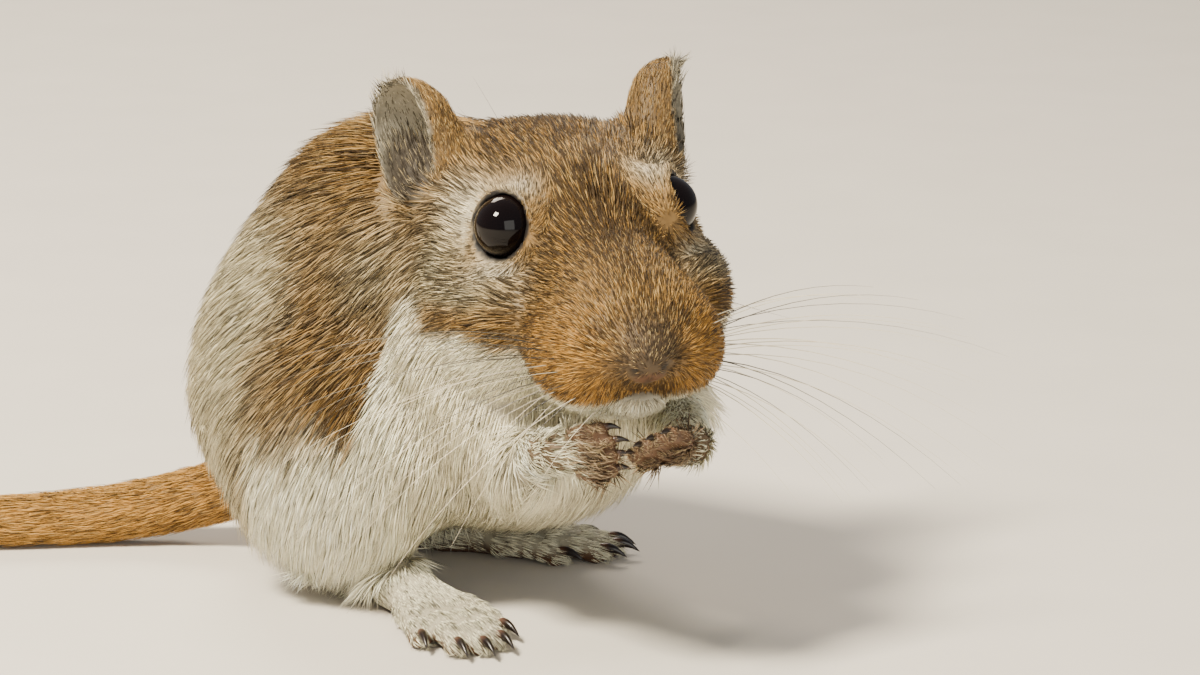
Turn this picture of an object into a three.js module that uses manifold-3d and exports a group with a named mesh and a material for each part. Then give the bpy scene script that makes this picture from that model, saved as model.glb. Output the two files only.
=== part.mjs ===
// A golden agouti gerbil, life size, sitting up on its hind feet with its fore paws at its mouth.
// Millimetres, +Z up, floor at z = 0. The body faces -Y and its right side is towards -X.
// The head is turned to the animal's right. Every outline is that of the coat's surface.
import * as THREE from "three";
import { mergeVertices } from "three/addons/utils/BufferGeometryUtils.js";
import Module from "manifold-3d";

const wasm = await Module();
wasm.setup();

// Driving dimensions
const GAP = 0.3; // clearance left between parts that touch
const SEED = 7; // start of every random draw
const EYE_RADIUS = 2.85;
const EYE_SPREAD = 7.4; // sideways from the head's middle to an eye's centre
const EAR_LENGTH = 13;
const EAR_WIDTH = 7.8;
const EAR_WALL = 0.9;
const TAIL_ROOT_RADIUS = 3.6;
const TAIL_END_RADIUS = 2.0;
const HIND_FOOT_LENGTH = 25; // heel to the root of the claws
const HIND_FOOT_SPLAY = 33; // degrees outwards
const WHISKER_RADIUS = 0.3;
const TRUNK_BLEND = 7; // depth of the blend between the trunk's masses
const LIMB_BLEND = 4; // between the trunk and the limbs that lie in its coat
const SKULL_BLEND = 4; // between the masses of the head
const NECK_BLEND = 5; // between head and trunk
const HEAD_PLACE = [-8.8, -24.8, 38.2]; // midway between the eyes
const HEAD_YAW = -45; // degrees, negative turns the face to the animal's right
const HEAD_PITCH = -3; // degrees, positive drops the nose
const HEAD_ROLL = -4;

const rad = THREE.MathUtils.degToRad;
const V = (x, y, z) => new THREE.Vector3(x, y, z);
const SIDES = { right: -1, left: 1 };

// Mulberry32, a small seeded random number source
function randomSource(seed) {
  let state = seed >>> 0;
  return () => {
    state = (state + 0x6d2b79f5) >>> 0;
    let t = state;
    t = Math.imul(t ^ (t >>> 15), t | 1);
    t ^= t + Math.imul(t ^ (t >>> 7), t | 61);
    return ((t ^ (t >>> 14)) >>> 0) / 4294967296;
  };
}

// Forms: functions that give the distance from a point to a surface, negative inside it

function ellipsoid(centre, radii, turn = [0, 0, 0], frame = new THREE.Matrix4()) {
  const spin = new THREE.Quaternion().setFromEuler(new THREE.Euler(...turn.map(rad)));
  const place = new THREE.Matrix4().compose(V(...centre), spin, V(1, 1, 1)).premultiply(frame);
  const inverse = place.invert();
  const [a, b, c] = radii;
  const q = V(0, 0, 0);
  return (p) => {
    q.copy(p).applyMatrix4(inverse);
    const near = Math.hypot(q.x / a, q.y / b, q.z / c);
    const slope = Math.hypot(q.x / (a * a), q.y / (b * b), q.z / (c * c));
    return slope < 1e-9 ? -Math.min(a, b, c) : (near * (near - 1)) / slope;
  };
}

// A bar with round ends of two radii
function bar(from, to, startRadius, endRadius, frame = new THREE.Matrix4()) {
  const a = V(...from).applyMatrix4(frame);
  const b = V(...to).applyMatrix4(frame);
  const along = b.clone().sub(a);
  const length2 = along.lengthSq();
  const q = V(0, 0, 0);
  return (p) => {
    q.copy(p).sub(a);
    const t = THREE.MathUtils.clamp(q.dot(along) / length2, 0, 1);
    const radius = startRadius + (endRadius - startRadius) * t;
    return q.addScaledVector(along, -t).length() - radius;
  };
}

const softMin = (a, b, k) => {
  const h = Math.max(k - Math.abs(a - b), 0) / k;
  return Math.min(a, b) - (h * h * k) / 4;
};
const blend = (k, forms) => (p) => forms.reduce((d, form) => softMin(d, form(p), k), 1e6);
const grown = (form, by) => (p) => form(p) - by;

// Solids

function solidFrom(geometry) {
  const bare = geometry.index ? geometry.toNonIndexed() : geometry.clone();
  for (const name of Object.keys(bare.attributes)) {
    if (name !== "position") bare.deleteAttribute(name);
  }
  const merged = mergeVertices(bare, 1e-4);
  return new wasm.Manifold(
    new wasm.Mesh({
      numProp: 3,
      vertProperties: new Float32Array(merged.attributes.position.array),
      triVerts: new Uint32Array(merged.index.array),
    }),
  );
}

function geometryFrom(solid) {
  const mesh = solid.getMesh();
  const positions = new Float32Array(mesh.numVert * 3);
  for (let i = 0; i < mesh.numVert; i++) {
    positions.set(mesh.vertProperties.subarray(i * mesh.numProp, i * mesh.numProp + 3), i * 3);
  }
  const geometry = new THREE.BufferGeometry();
  geometry.setAttribute("position", new THREE.BufferAttribute(positions, 3));
  geometry.setIndex(new THREE.BufferAttribute(new Uint32Array(mesh.triVerts), 1));
  geometry.computeVertexNormals();
  return geometry;
}

const largest = (solid) =>
  solid.decompose().reduce((best, piece) => (piece.volume() > best.volume() ? piece : best));

// The surface of a form, cut off at a box, as a net: one vertex in each cell that the surface crosses
function net(shape, low, high, cell) {
  const margin = 1.5 * cell;
  const form = (p) =>
    Math.max(
      shape(p),
      low[0] + margin - p.x, p.x - high[0] + margin,
      low[1] + margin - p.y, p.y - high[1] + margin,
      low[2] + margin - p.z, p.z - high[2] + margin,
    );
  const count = [0, 1, 2].map((i) => Math.ceil((high[i] - low[i]) / cell) + 1);
  const [nx, ny, nz] = count;
  const at = (i, j, k) => i + nx * (j + ny * k);
  const value = new Float32Array(nx * ny * nz);
  const p = V(0, 0, 0);
  for (let k = 0; k < nz; k++) {
    for (let j = 0; j < ny; j++) {
      for (let i = 0; i < nx; i++) {
        p.set(low[0] + i * cell, low[1] + j * cell, low[2] + k * cell);
        value[at(i, j, k)] = form(p) || 1e-6;
      }
    }
  }
  const corners = [];
  for (let n = 0; n < 8; n++) corners.push([n & 1, (n >> 1) & 1, (n >> 2) & 1]);
  const positions = [];
  const vertexOf = new Map();
  const slope = V(0, 0, 0);
  const step = cell * 0.05;
  for (let k = 0; k < nz - 1; k++) {
    for (let j = 0; j < ny - 1; j++) {
      for (let i = 0; i < nx - 1; i++) {
        const v = corners.map(([a, b, c]) => value[at(i + a, j + b, k + c)]);
        if (v.every((x) => x < 0) || v.every((x) => x > 0)) continue;
        const sum = V(0, 0, 0);
        let crossings = 0;
        for (let a = 0; a < 8; a++) {
          for (const bit of [1, 2, 4]) {
            const b = a | bit;
            if (b === a || v[a] < 0 === v[b] < 0) continue;
            const t = v[a] / (v[a] - v[b]);
            sum.x += corners[a][0] + t * (corners[b][0] - corners[a][0]);
            sum.y += corners[a][1] + t * (corners[b][1] - corners[a][1]);
            sum.z += corners[a][2] + t * (corners[b][2] - corners[a][2]);
            crossings++;
          }
        }
        sum.divideScalar(crossings);
        p.set(low[0] + (i + sum.x) * cell, low[1] + (j + sum.y) * cell, low[2] + (k + sum.z) * cell);
        // one step down the form's slope puts the vertex on the surface
        const here = form(p);
        slope.set(
          form(V(p.x + step, p.y, p.z)) - here,
          form(V(p.x, p.y + step, p.z)) - here,
          form(V(p.x, p.y, p.z + step)) - here,
        );
        const steep = slope.lengthSq();
        if (steep > 1e-12) {
          const move = THREE.MathUtils.clamp((-here * step) / steep, -cell * 8, cell * 8);
          slope.multiplyScalar(move).clampLength(0, cell * 0.3);
          p.add(slope);
        }
        vertexOf.set(at(i, j, k), positions.length / 3);
        positions.push(p.x, p.y, p.z);
      }
    }
  }
  const faces = [];
  const corner = (n) => V(positions[3 * n], positions[3 * n + 1], positions[3 * n + 2]);
  const quad = (a, b, c, d, turned) => {
    const [A, B, C, D] = [a, b, c, d].map((key) => vertexOf.get(key));
    const loop = turned ? [A, D, C, B] : [A, B, C, D];
    const [e, f, g, h] = loop;
    if (corner(e).distanceTo(corner(g)) < corner(f).distanceTo(corner(h))) {
      faces.push(e, f, g, e, g, h);
    } else {
      faces.push(f, g, h, f, h, e);
    }
  };
  for (let k = 1; k < nz - 1; k++) {
    for (let j = 1; j < ny - 1; j++) {
      for (let i = 1; i < nx - 1; i++) {
        const here = value[at(i, j, k)] < 0;
        if (here !== value[at(i + 1, j, k)] < 0) {
          quad(at(i, j - 1, k - 1), at(i, j, k - 1), at(i, j, k), at(i, j - 1, k), !here);
        }
        if (here !== value[at(i, j + 1, k)] < 0) {
          quad(at(i - 1, j, k - 1), at(i - 1, j, k), at(i, j, k), at(i, j, k - 1), !here);
        }
        if (here !== value[at(i, j, k + 1)] < 0) {
          quad(at(i - 1, j - 1, k), at(i, j - 1, k), at(i, j, k), at(i - 1, j, k), !here);
        }
      }
    }
  }
  const geometry = new THREE.BufferGeometry();
  geometry.setAttribute("position", new THREE.BufferAttribute(new Float32Array(positions), 3));
  geometry.setIndex(faces);
  return solidFrom(geometry);
}

// A very large block on the side of a plane that its normal points to
const HUGE = 400;
function beyond(point, normal, offset = 0) {
  const block = new THREE.BoxGeometry(HUGE, HUGE, HUGE);
  const n = V(...normal).normalize();
  block.translate(0, 0, HUGE / 2);
  block.applyQuaternion(new THREE.Quaternion().setFromUnitVectors(V(0, 0, 1), n));
  block.translate(...V(...point).addScaledVector(n, offset).toArray());
  return solidFrom(block);
}

// Lofted solids

// A closed tube of rings along a curve. shape(t) gives [half width, half height] of the ring at t.
function tube(curve, shape, sides, steps, from = 0, to = 1) {
  const positions = [];
  const faces = [];
  const up = V(0, 0, 1);
  for (let s = 0; s <= steps; s++) {
    const t = from + ((to - from) * s) / steps;
    const centre = curve.getPointAt(t);
    const along = curve.getTangentAt(t);
    const across = V(0, 0, 0).crossVectors(along, up).normalize();
    const over = V(0, 0, 0).crossVectors(across, along).normalize();
    const [width, height] = shape(t);
    for (let n = 0; n < sides; n++) {
      const turn = (2 * Math.PI * (n + 0.5)) / sides;
      const point = centre
        .clone()
        .addScaledVector(across, width * Math.cos(turn))
        .addScaledVector(over, height * Math.sin(turn));
      positions.push(point.x, point.y, point.z);
    }
  }
  for (let s = 0; s < steps; s++) {
    for (let n = 0; n < sides; n++) {
      const a = s * sides + n;
      const b = s * sides + ((n + 1) % sides);
      faces.push(a, b + sides, b, a, a + sides, b + sides);
    }
  }
  for (const [ring, turned] of [[0, true], [steps, false]]) {
    const middle = curve.getPointAt(from + ((to - from) * ring) / steps);
    positions.push(middle.x, middle.y, middle.z);
    const centre = positions.length / 3 - 1;
    for (let n = 0; n < sides; n++) {
      const a = ring * sides + n;
      const b = ring * sides + ((n + 1) % sides);
      faces.push(...(turned ? [centre, a, b] : [centre, b, a]));
    }
  }
  const geometry = new THREE.BufferGeometry();
  geometry.setAttribute("position", new THREE.BufferAttribute(new Float32Array(positions), 3));
  geometry.setIndex(faces);
  return solidFrom(geometry);
}

// A curved wall. place(u, v) gives its middle and its outward direction, wall(u, v) half its thickness.
function curvedWall(place, wall, columns, rows) {
  const positions = [];
  const faces = [];
  const index = (face, i, j) => face * (columns + 1) * (rows + 1) + i + j * (columns + 1);
  for (const face of [0, 1]) {
    for (let j = 0; j <= rows; j++) {
      for (let i = 0; i <= columns; i++) {
        const u = i / columns;
        const v = j / rows;
        const [middle, outward] = place(u, v);
        const point = middle.clone().addScaledVector(outward, (face ? -1 : 1) * wall(u, v));
        positions.push(point.x, point.y, point.z);
      }
    }
  }
  const square = (a, b, c, d) => faces.push(a, c, b, a, d, c);
  for (let j = 0; j < rows; j++) {
    for (let i = 0; i < columns; i++) {
      square(index(0, i, j), index(0, i + 1, j), index(0, i + 1, j + 1), index(0, i, j + 1));
      square(index(1, i, j), index(1, i, j + 1), index(1, i + 1, j + 1), index(1, i + 1, j));
    }
    square(index(0, 0, j), index(0, 0, j + 1), index(1, 0, j + 1), index(1, 0, j));
    square(index(0, columns, j + 1), index(0, columns, j), index(1, columns, j), index(1, columns, j + 1));
  }
  for (let i = 0; i < columns; i++) {
    square(index(0, i + 1, 0), index(0, i, 0), index(1, i, 0), index(1, i + 1, 0));
    square(index(0, i, rows), index(0, i + 1, rows), index(1, i + 1, rows), index(1, i, rows));
  }
  const geometry = new THREE.BufferGeometry();
  geometry.setAttribute("position", new THREE.BufferAttribute(new Float32Array(positions), 3));
  geometry.setIndex(faces);
  return solidFrom(geometry);
}

function ball(centre, radii, frame = new THREE.Matrix4(), turn = [0, 0, 0], segments = 16) {
  const geometry = new THREE.SphereGeometry(1, segments, Math.round(segments * 0.7));
  geometry.scale(...radii);
  geometry.applyQuaternion(new THREE.Quaternion().setFromEuler(new THREE.Euler(...turn.map(rad))));
  geometry.translate(...centre);
  geometry.applyMatrix4(frame);
  return solidFrom(geometry);
}

const curveThrough = (...points) => new THREE.CatmullRomCurve3(points.map((p) => V(...p)));

// The model's frames
const headFrame = new THREE.Matrix4().compose(
  V(...HEAD_PLACE),
  new THREE.Quaternion().setFromEuler(
    new THREE.Euler(rad(HEAD_PITCH), rad(HEAD_ROLL), rad(HEAD_YAW), "ZYX"),
  ),
  V(1, 1, 1),
);
const inHead = (x, y, z) => V(x, y, z).applyMatrix4(headFrame);

// Forms of the trunk
const trunk = blend(TRUNK_BLEND, [
  ellipsoid([0, 7, 17.8], [15.8, 14.8, 16.4]), // rump
  ellipsoid([0.5, -0.5, 26.4], [14.5, 16.6, 18.9]), // hump of the back
  ellipsoid([-0.5, -8, 17.5], [15, 16, 11.5]), // belly
  ellipsoid([-1, -17, 21], [13, 12.5, 12.5]), // chest
  ellipsoid([0, -11, 31], [12, 12, 12.5]), // shoulders
]);
const HAUNCH = { centre: [12.5, -0.5, 14.5], radii: [8, 12.2, 12.6], turn: [10, 0, -8] };
const haunch = (side) => {
  const [x, y, z] = HAUNCH.centre;
  const [tx, ty, tz] = HAUNCH.turn;
  return ellipsoid([x * side, y, z], HAUNCH.radii, [tx, ty, tz * side]);
};
const SHOULDER = { right: [-11, -14, 25], left: [10, -15, 26] };
const ELBOW = { right: [-12.5, -20.5, 16.5], left: [6.5, -25.5, 18] };
const WRIST = { right: [-19.8, -28.6, 19.9], left: [-13.1, -38.1, 20.2] };
const UPPER_ARM_RADII = [6.4, 4.8];
const upperArm = (name) => bar(SHOULDER[name], ELBOW[name], ...UPPER_ARM_RADII);
const body = blend(LIMB_BLEND, [trunk, haunch(-1), haunch(1), upperArm("right"), upperArm("left")]);

// Forms of the head
const h = (centre, radii, turn) => ellipsoid(centre, radii, turn, headFrame);
const skull = blend(SKULL_BLEND, [
  h([0, 9.5, -0.6], [11.6, 12.5, 9.6]), // cranium
  h([0, 0.5, -1], [7.4, 7.2, 7.4]), // brows
  h([-7.6, 3, -7.6], [6.4, 9.8, 7.4]), // right cheek
  h([7.6, 3, -7.6], [6.4, 9.8, 7.4]), // left cheek
  h([0, -8, -5], [6, 10.4, 5.6], [17, 0, 0]), // bridge of the nose
  h([-3.9, -10.8, -9.8], [5, 6.4, 5.1]), // right whisker pad
  h([3.9, -10.8, -9.8], [5, 6.4, 5.1]), // left whisker pad
]);
const whole = (p) => softMin(body(p), skull(p), NECK_BLEND);

const COATS = {
  agouti: new THREE.MeshStandardMaterial({ color: 0xb08a5c, roughness: 0.9, metalness: 0 }),
  cream: new THREE.MeshStandardMaterial({ color: 0xe6dccb, roughness: 0.9, metalness: 0 }),
  skin: new THREE.MeshStandardMaterial({ color: 0xb98a78, roughness: 0.6, metalness: 0 }),
  eye: new THREE.MeshStandardMaterial({ color: 0x080607, roughness: 0.05, metalness: 0 }),
  claw: new THREE.MeshStandardMaterial({ color: 0x2a1c18, roughness: 0.4, metalness: 0 }),
};
const root = new THREE.Group();
function node(name, solid, material) {
  const mesh = new THREE.Mesh(geometryFrom(largest(solid)), material);
  mesh.name = name;
  root.add(mesh);
}

// Cutting tools. A tool that is swollen by GAP leaves that gap round the part cut by the plain one.
const SKULL_LOW = [-30, -50, 14];
const SKULL_HIGH = [16, 8, 62];
const HEAD_REACH = 1.4; // how far past the skull's own form the head's part goes
const NET_SLACK = 0.3; // added to a gap where two nets face each other
const BODY_LOW = [-28, -46, -6];
const BODY_HIGH = [28, 28, 62];
const above = (z) => beyond([0, 0, z], [0, 0, 1]);
const nape = inHead(0, 12, 0).toArray(); // the head's part ends in a plane here
const backwards = inHead(0, 1, 0).sub(inHead(0, 0, 0)).toArray();
const headTool = (by) =>
  net(grown(skull, HEAD_REACH + by), SKULL_LOW, SKULL_HIGH, 3.3)
    .subtract(beyond(nape, backwards, by ? GAP / 2 : -GAP / 2));
const headCut = headTool(GAP + NET_SLACK);
// A plug across the body: an oval prism along X from |x| = inner outwards
function plug(side, inner, middle, radii, turn, by) {
  const reach = 30;
  const prism = new THREE.CylinderGeometry(1, 1, reach, 20);
  prism.scale(radii[0] + by, 1, radii[1] + by);
  prism.rotateY(rad(turn));
  prism.rotateZ(-Math.PI / 2);
  prism.translate(side * (inner - by + reach / 2), middle[0], middle[1]);
  return solidFrom(prism);
}
const HAUNCH_PLUG = { inner: 7, middle: [-1, 12.5], radii: [11.5, 12.5] };
const haunchTool = (side, by) => plug(side, HAUNCH_PLUG.inner, HAUNCH_PLUG.middle, HAUNCH_PLUG.radii, 0, by);
const ARM_INNER = { right: 6.5, left: 3 };
const ARM_PLUG = [9.8, 5.2]; // half its length and width
function armTool(name, by) {
  const [, y0, z0] = SHOULDER[name];
  const [, y1, z1] = ELBOW[name];
  const middle = [(y0 + y1) / 2, (z0 + z1) / 2];
  const slope = THREE.MathUtils.radToDeg(Math.atan2(z1 - z0, y1 - y0));
  return plug(SIDES[name], ARM_INNER[name], middle, ARM_PLUG, slope, by);
}
const NECK_PLANE = { point: [-1, -13, 30], normal: [-0.3, -0.45, 0.84] };
const beyondNeck = (offset) => beyond(NECK_PLANE.point, NECK_PLANE.normal, offset);
const KNEE_PLANE = { point: [0, 0, 9], normal: [0, 0.35, 1] }; // thigh above, shank below
const beyondKnee = (offset) => beyond(KNEE_PLANE.point, KNEE_PLANE.normal, offset);

// Head
const EYE_AXIS = [0.84, -0.48, 0.26]; // the way an eye looks, mirrored for the right one
const LID_SETBACK = 0.7; // from the eye's centre out to the plane of its lids
const eyeCentre = (side) => [EYE_SPREAD * side, -1.2, 0.6];
const round = (radius) => [radius, radius, radius];
const LID_RADIUS = 0.6; // of a lid's own thickness
const HOLLOW_WIDENING = 0.9; // of the hollow round an eye, to each mm outwards
const lidReach = Math.sqrt(EYE_RADIUS ** 2 - LID_SETBACK ** 2) + 0.25;
const eyeAxis = (side) => V(EYE_AXIS[0] * side, EYE_AXIS[1], EYE_AXIS[2]).normalize();
function lidRing(side) {
  const ring = new THREE.TorusGeometry(lidReach, LID_RADIUS, 6, 16);
  const axis = eyeAxis(side);
  ring.applyQuaternion(new THREE.Quaternion().setFromUnitVectors(V(0, 0, 1), axis));
  ring.translate(...V(...eyeCentre(side)).addScaledVector(axis, LID_SETBACK).toArray());
  ring.applyMatrix4(headFrame);
  return solidFrom(ring);
}
// The hollow in the coat that opens outwards from the lids
function eyeHollow(side) {
  const axis = eyeAxis(side);
  const depth = 5;
  const cone = new THREE.CylinderGeometry(lidReach + depth * HOLLOW_WIDENING, lidReach, depth, 14);
  cone.translate(0, depth / 2 + LID_SETBACK, 0);
  cone.applyQuaternion(new THREE.Quaternion().setFromUnitVectors(V(0, 1, 0), axis));
  cone.translate(...eyeCentre(side));
  cone.applyMatrix4(headFrame);
  return solidFrom(cone);
}
const NOSE = { centre: [0, -18.2, -9], radii: [2.5, 1.9, 2.1] };
const PAD = { centre: [6.3, -11.6, -9.6], radii: [3.4, 4, 3.4] };
const swollen = (radii) => radii.map((r) => r + GAP);
const padCentre = (side) => [PAD.centre[0] * side, PAD.centre[1], PAD.centre[2]];
let face = net(whole, SKULL_LOW, SKULL_HIGH, 2).intersect(headTool(0));
for (const side of Object.values(SIDES)) {
  face = face.subtract(eyeHollow(side)).add(lidRing(side));
  face = face.subtract(ball(eyeCentre(side), round(EYE_RADIUS + GAP), headFrame, undefined, 14));
}
face = face.subtract(ball(NOSE.centre, swollen(NOSE.radii), headFrame, undefined, 10));
const cleft = new THREE.BoxGeometry(0.5, 5, 4.4);
cleft.translate(0, -18, -13);
cleft.applyMatrix4(headFrame);
face = face.subtract(solidFrom(cleft));
let head = face;
for (const side of Object.values(SIDES)) {
  head = head.subtract(ball(padCentre(side), swollen(PAD.radii), headFrame, undefined, 10));
}
const jawForm = blend(2, [
  h([0, -9.2, -13.8], [4, 6.4, 2.4]),
  h([0, -4, -13.4], [6, 7, 3.1]),
]);
const JAW_LOW = [-26, -44, 14];
const JAW_HIGH = [0, -14, 34];
// Clears parts from the coat
const coatBlock = net(grown(whole, GAP + NET_SLACK), BODY_LOW, BODY_HIGH, 2.7);

// Nose with its two nostrils
let nose = ball(NOSE.centre, NOSE.radii, headFrame, undefined, 10);
for (const side of Object.values(SIDES)) {
  nose = nose.subtract(ball([1.5 * side, -19.8, -9.5], [0.75, 0.9, 0.5], headFrame, [0, 0, 30 * side], 6));
}

// Whiskers: [outwards, forwards, upwards] of each tip from the pad, and its length
const WHISKERS = [
  [0.93, 0.1, 0.36, 25],
  [0.95, 0, 0.2, 28],
  [0.95, 0.2, 0.08, 27],
  [0.94, 0, -0.06, 29],
  [0.92, 0.2, -0.2, 26],
  [0.88, 0.1, -0.36, 24],
  [0.8, 0.24, -0.5, 20],
];
function whiskerPad(side) {
  let pad = face.intersect(ball(padCentre(side), PAD.radii, headFrame, undefined, 10));
  WHISKERS.forEach(([out, forward, up, length], n) => {
    const start = V(6.2, -12.2 + 1.5 * ((n % 3) - 1), -8 - 0.42 * n);
    const way = V(out, -forward, up).normalize();
    const points = [0, 0.35, 0.7, 1].map((t) => {
      const droop = 0.3 * length * t * t;
      const point = start.clone().addScaledVector(way, length * t);
      return inHead(point.x * side, point.y + 0.08 * length * t * t, point.z - droop).toArray();
    });
    const taper = (t) => [WHISKER_RADIUS * (1 - 0.6 * t), WHISKER_RADIUS * (1 - 0.6 * t)];
    pad = pad.add(tube(curveThrough(...points), taper, 4, 4));
  });
  return pad;
}

// Ears: a cup that is nearly closed at its root and opens towards the front and side
const EARS = {
  right: { root: [-10.9, 10.4, 0.7], up: [-0.16, 0.15, 0.96], opening: [-0.82, -0.55, 0.05] },
  left: { root: [10, 10.4, 0], up: [0.2, 0.15, 0.95], opening: [0.9, -0.42, 0.05] },
};
const EAR_WIDEST = 0.6; // share of the ear's length at which it is widest
function ear(name) {
  const up = V(...EARS[name].up).normalize();
  const open = V(...EARS[name].opening);
  open.addScaledVector(up, -open.dot(up)).normalize();
  const across = V(0, 0, 0).crossVectors(up, open);
  const start = V(...EARS[name].root);
  const place = (u, v) => {
    const half = rad(THREE.MathUtils.lerp(120, 62, v ** 0.7)); // half the cup's angle
    const reach = v < EAR_WIDEST ? 0.8 : 0.42; // from the widest place to where the outline would close
    const width = (EAR_WIDTH / 2) * Math.sqrt(1 - ((v - EAR_WIDEST) / reach) ** 2);
    const radius = width / Math.sin(Math.min(half, Math.PI / 2));
    const turn = (u - 0.5) * 2 * half;
    const outward = across.clone().multiplyScalar(Math.sin(turn));
    outward.addScaledVector(open, -Math.cos(turn));
    const point = start.clone().addScaledVector(up, v * EAR_LENGTH).addScaledVector(outward, radius);
    const direction = inHead(...outward.toArray()).sub(inHead(0, 0, 0));
    return [inHead(...point.toArray()), direction];
  };
  const wall = (u, v) => (EAR_WALL / 2) * (1 - 0.35 * v) * (1 - 0.3 * Math.abs(2 * u - 1));
  return curvedWall(place, wall, 10, 8).subtract(coatBlock);
}

// Trunk, neck and the folded limbs that lie in the coat
const bodyNet = net(whole, BODY_LOW, BODY_HIGH, 3.5).intersect(above(1));

// Hind feet
const FOOT = {
  right: { heel: [-6.5, 0.5], splay: -HIND_FOOT_SPLAY },
  left: { heel: [5.5, 8.5], splay: 18 },
};
const TOES = [-3.3, -1.8, 0, 1.8, 3.3]; // across the foot, the first toe to the last
const TOE_TIPS = [-4.5, -0.8, 0, -0.8, -4].map((short) => HIND_FOOT_LENGTH + short); // from the heel
const TOE_ROOT = 15.5; // along the foot
const TOE_HEIGHT = 1.05; // of a toe's middle line at its tip
const CLAW_LENGTH = 3;
const CLAW_RADIUS = 0.62;
// [across, along, height] on a foot to a place
function onFoot(name, across, along, height) {
  const { heel, splay } = FOOT[name];
  const turn = rad(splay);
  return [
    heel[0] + along * Math.sin(turn) + across * Math.cos(turn),
    heel[1] - along * Math.cos(turn) + across * Math.sin(turn),
    height,
  ];
}
function footForm(name) {
  const at = (...place) => onFoot(name, ...place);
  return blend(1.6, [
    bar(at(0, 1.5, 2.6), at(0, 9, 2.4), 2.9, 2.7),
    bar(at(0, 8, 2.4), at(-1.6, TOE_ROOT + 1, 1.6), 2.5, 1.9),
    bar(at(0, 8, 2.4), at(1.6, TOE_ROOT + 1, 1.6), 2.5, 1.9),
  ]);
}
const TOE_SPREAD = 1.15; // of the toes' tips against their roots
function toeCurve(name, n) {
  const points = [0, 0.35, 0.7, 1].map((t) => {
    const along = THREE.MathUtils.lerp(TOE_ROOT - 1, TOE_TIPS[n], t);
    const height = THREE.MathUtils.lerp(1.6, TOE_HEIGHT, t) + 0.35 * Math.sin(Math.PI * t);
    return onFoot(name, TOES[n] * THREE.MathUtils.lerp(0.7, TOE_SPREAD, t), along, height);
  });
  return curveThrough(...points);
}
const toeShape = (t) => [1.35 - 0.25 * t, 1.3 - 0.2 * t];
// A claw: a curved cone from a toe's tip
function claw(tip, way, length, radius) {
  const points = [0, 0.5, 1].map((t) => [
    tip[0] + way[0] * length * t,
    tip[1] + way[1] * length * t,
    tip[2] + way[2] * length * t - 0.22 * length * t * t,
  ]);
  return tube(curveThrough(...points), (t) => [radius * (1 - 0.8 * t), radius * (1.15 - 0.95 * t)], 5, 3);
}
const FOOT_BOX = {
  right: [[-30, -32, -5], [4, 10, 11]],
  left: [[-6, -30, -5], [26, 18, 11]],
};
const footNet = (name, by, cell) => net(grown(footForm(name), by), ...FOOT_BOX[name], cell);

// Fore paws. Each is the palm and four curled fingers that hold towards the mouth.
const PALM = {
  right: { end: [-21, -31.2, 20.3], tips: [-20.1, -33.4, 20.9] },
  left: { end: [-18.2, -38.7, 21], tips: [-20.8, -38.5, 22.2] },
};
const FINGERS = [-1.9, -0.65, 0.65, 1.9]; // across the palm
function palmAxes(name) {
  const wrist = V(...WRIST[name]);
  const end = V(...PALM[name].end);
  const along = end.clone().sub(wrist).normalize();
  const grip = V(...PALM[name].tips).sub(end);
  const across = V(0, 0, 0).crossVectors(along, grip).normalize();
  return { wrist, end, along, across, grip };
}
function fingerLine(name, offset) {
  const { end, along, across, grip } = palmAxes(name);
  const spread = 1 - 0.12 * Math.abs(offset);
  const root = end.clone().addScaledVector(across, offset * 0.85);
  const knuckle = end.clone().addScaledVector(across, offset).addScaledVector(along, 1.7 * spread);
  const tip = knuckle.clone().addScaledVector(grip, 0.85 * spread);
  return [root, knuckle, tip].map((p) => p.toArray());
}
const palmForm = (name) => {
  const { wrist, end } = palmAxes(name);
  return blend(0.8, [
    bar(wrist.toArray(), end.toArray(), 2.1, 1.5),
    bar(...fingerLine(name, FINGERS[0]).slice(0, 2), 1.1, 0.7),
    bar(...fingerLine(name, FINGERS[3]).slice(0, 2), 1.1, 0.7),
  ]);
};
function finger(name, offset) {
  const curve = curveThrough(...fingerLine(name, offset));
  return tube(curve, (t) => [0.9 - 0.25 * t, 0.9 - 0.25 * t], 5, 3);
}
const FOREARM_RADII = [3.6, 2.3];
const wristPlane = (name, offset) => {
  const way = V(...WRIST[name]).sub(V(...ELBOW[name])).toArray();
  return beyond(WRIST[name], way, offset);
};
const ARM_LOW = [-28, -48, 8];
const ARM_HIGH = [14, -12, 34];

// Tail
const tailCurve = curveThrough(
  [-0.5, 16.5, 7], [-1.8, 22.5, 4.7], [-5.8, 30, 3], [-13, 40, 2.5],
  [-21.5, 54, 2.15], [-27, 71, 1.9], [-27, 90, 1.8], [-23.5, 103, 1.5],
);
const tailThinning = (t) => Math.min(1, t * 1.3) ** 0.7; // from 0 at the root to 1
const tailRadius = (t) => THREE.MathUtils.lerp(TAIL_ROOT_RADIUS, TAIL_END_RADIUS, tailThinning(t));
const tailShape = (by) => (t) => round(tailRadius(t) + by).slice(0, 2);
const TAIL_CUTS = [0.004, 0.3, 0.56, 0.8]; // along the tail
const tailGap = GAP / 2 / tailCurve.getLength();
const tailPart = (n, steps) =>
  tube(tailCurve, tailShape(0), 10, steps, TAIL_CUTS[n] + tailGap, TAIL_CUTS[n + 1] - tailGap)
    .intersect(above(0));

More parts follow.
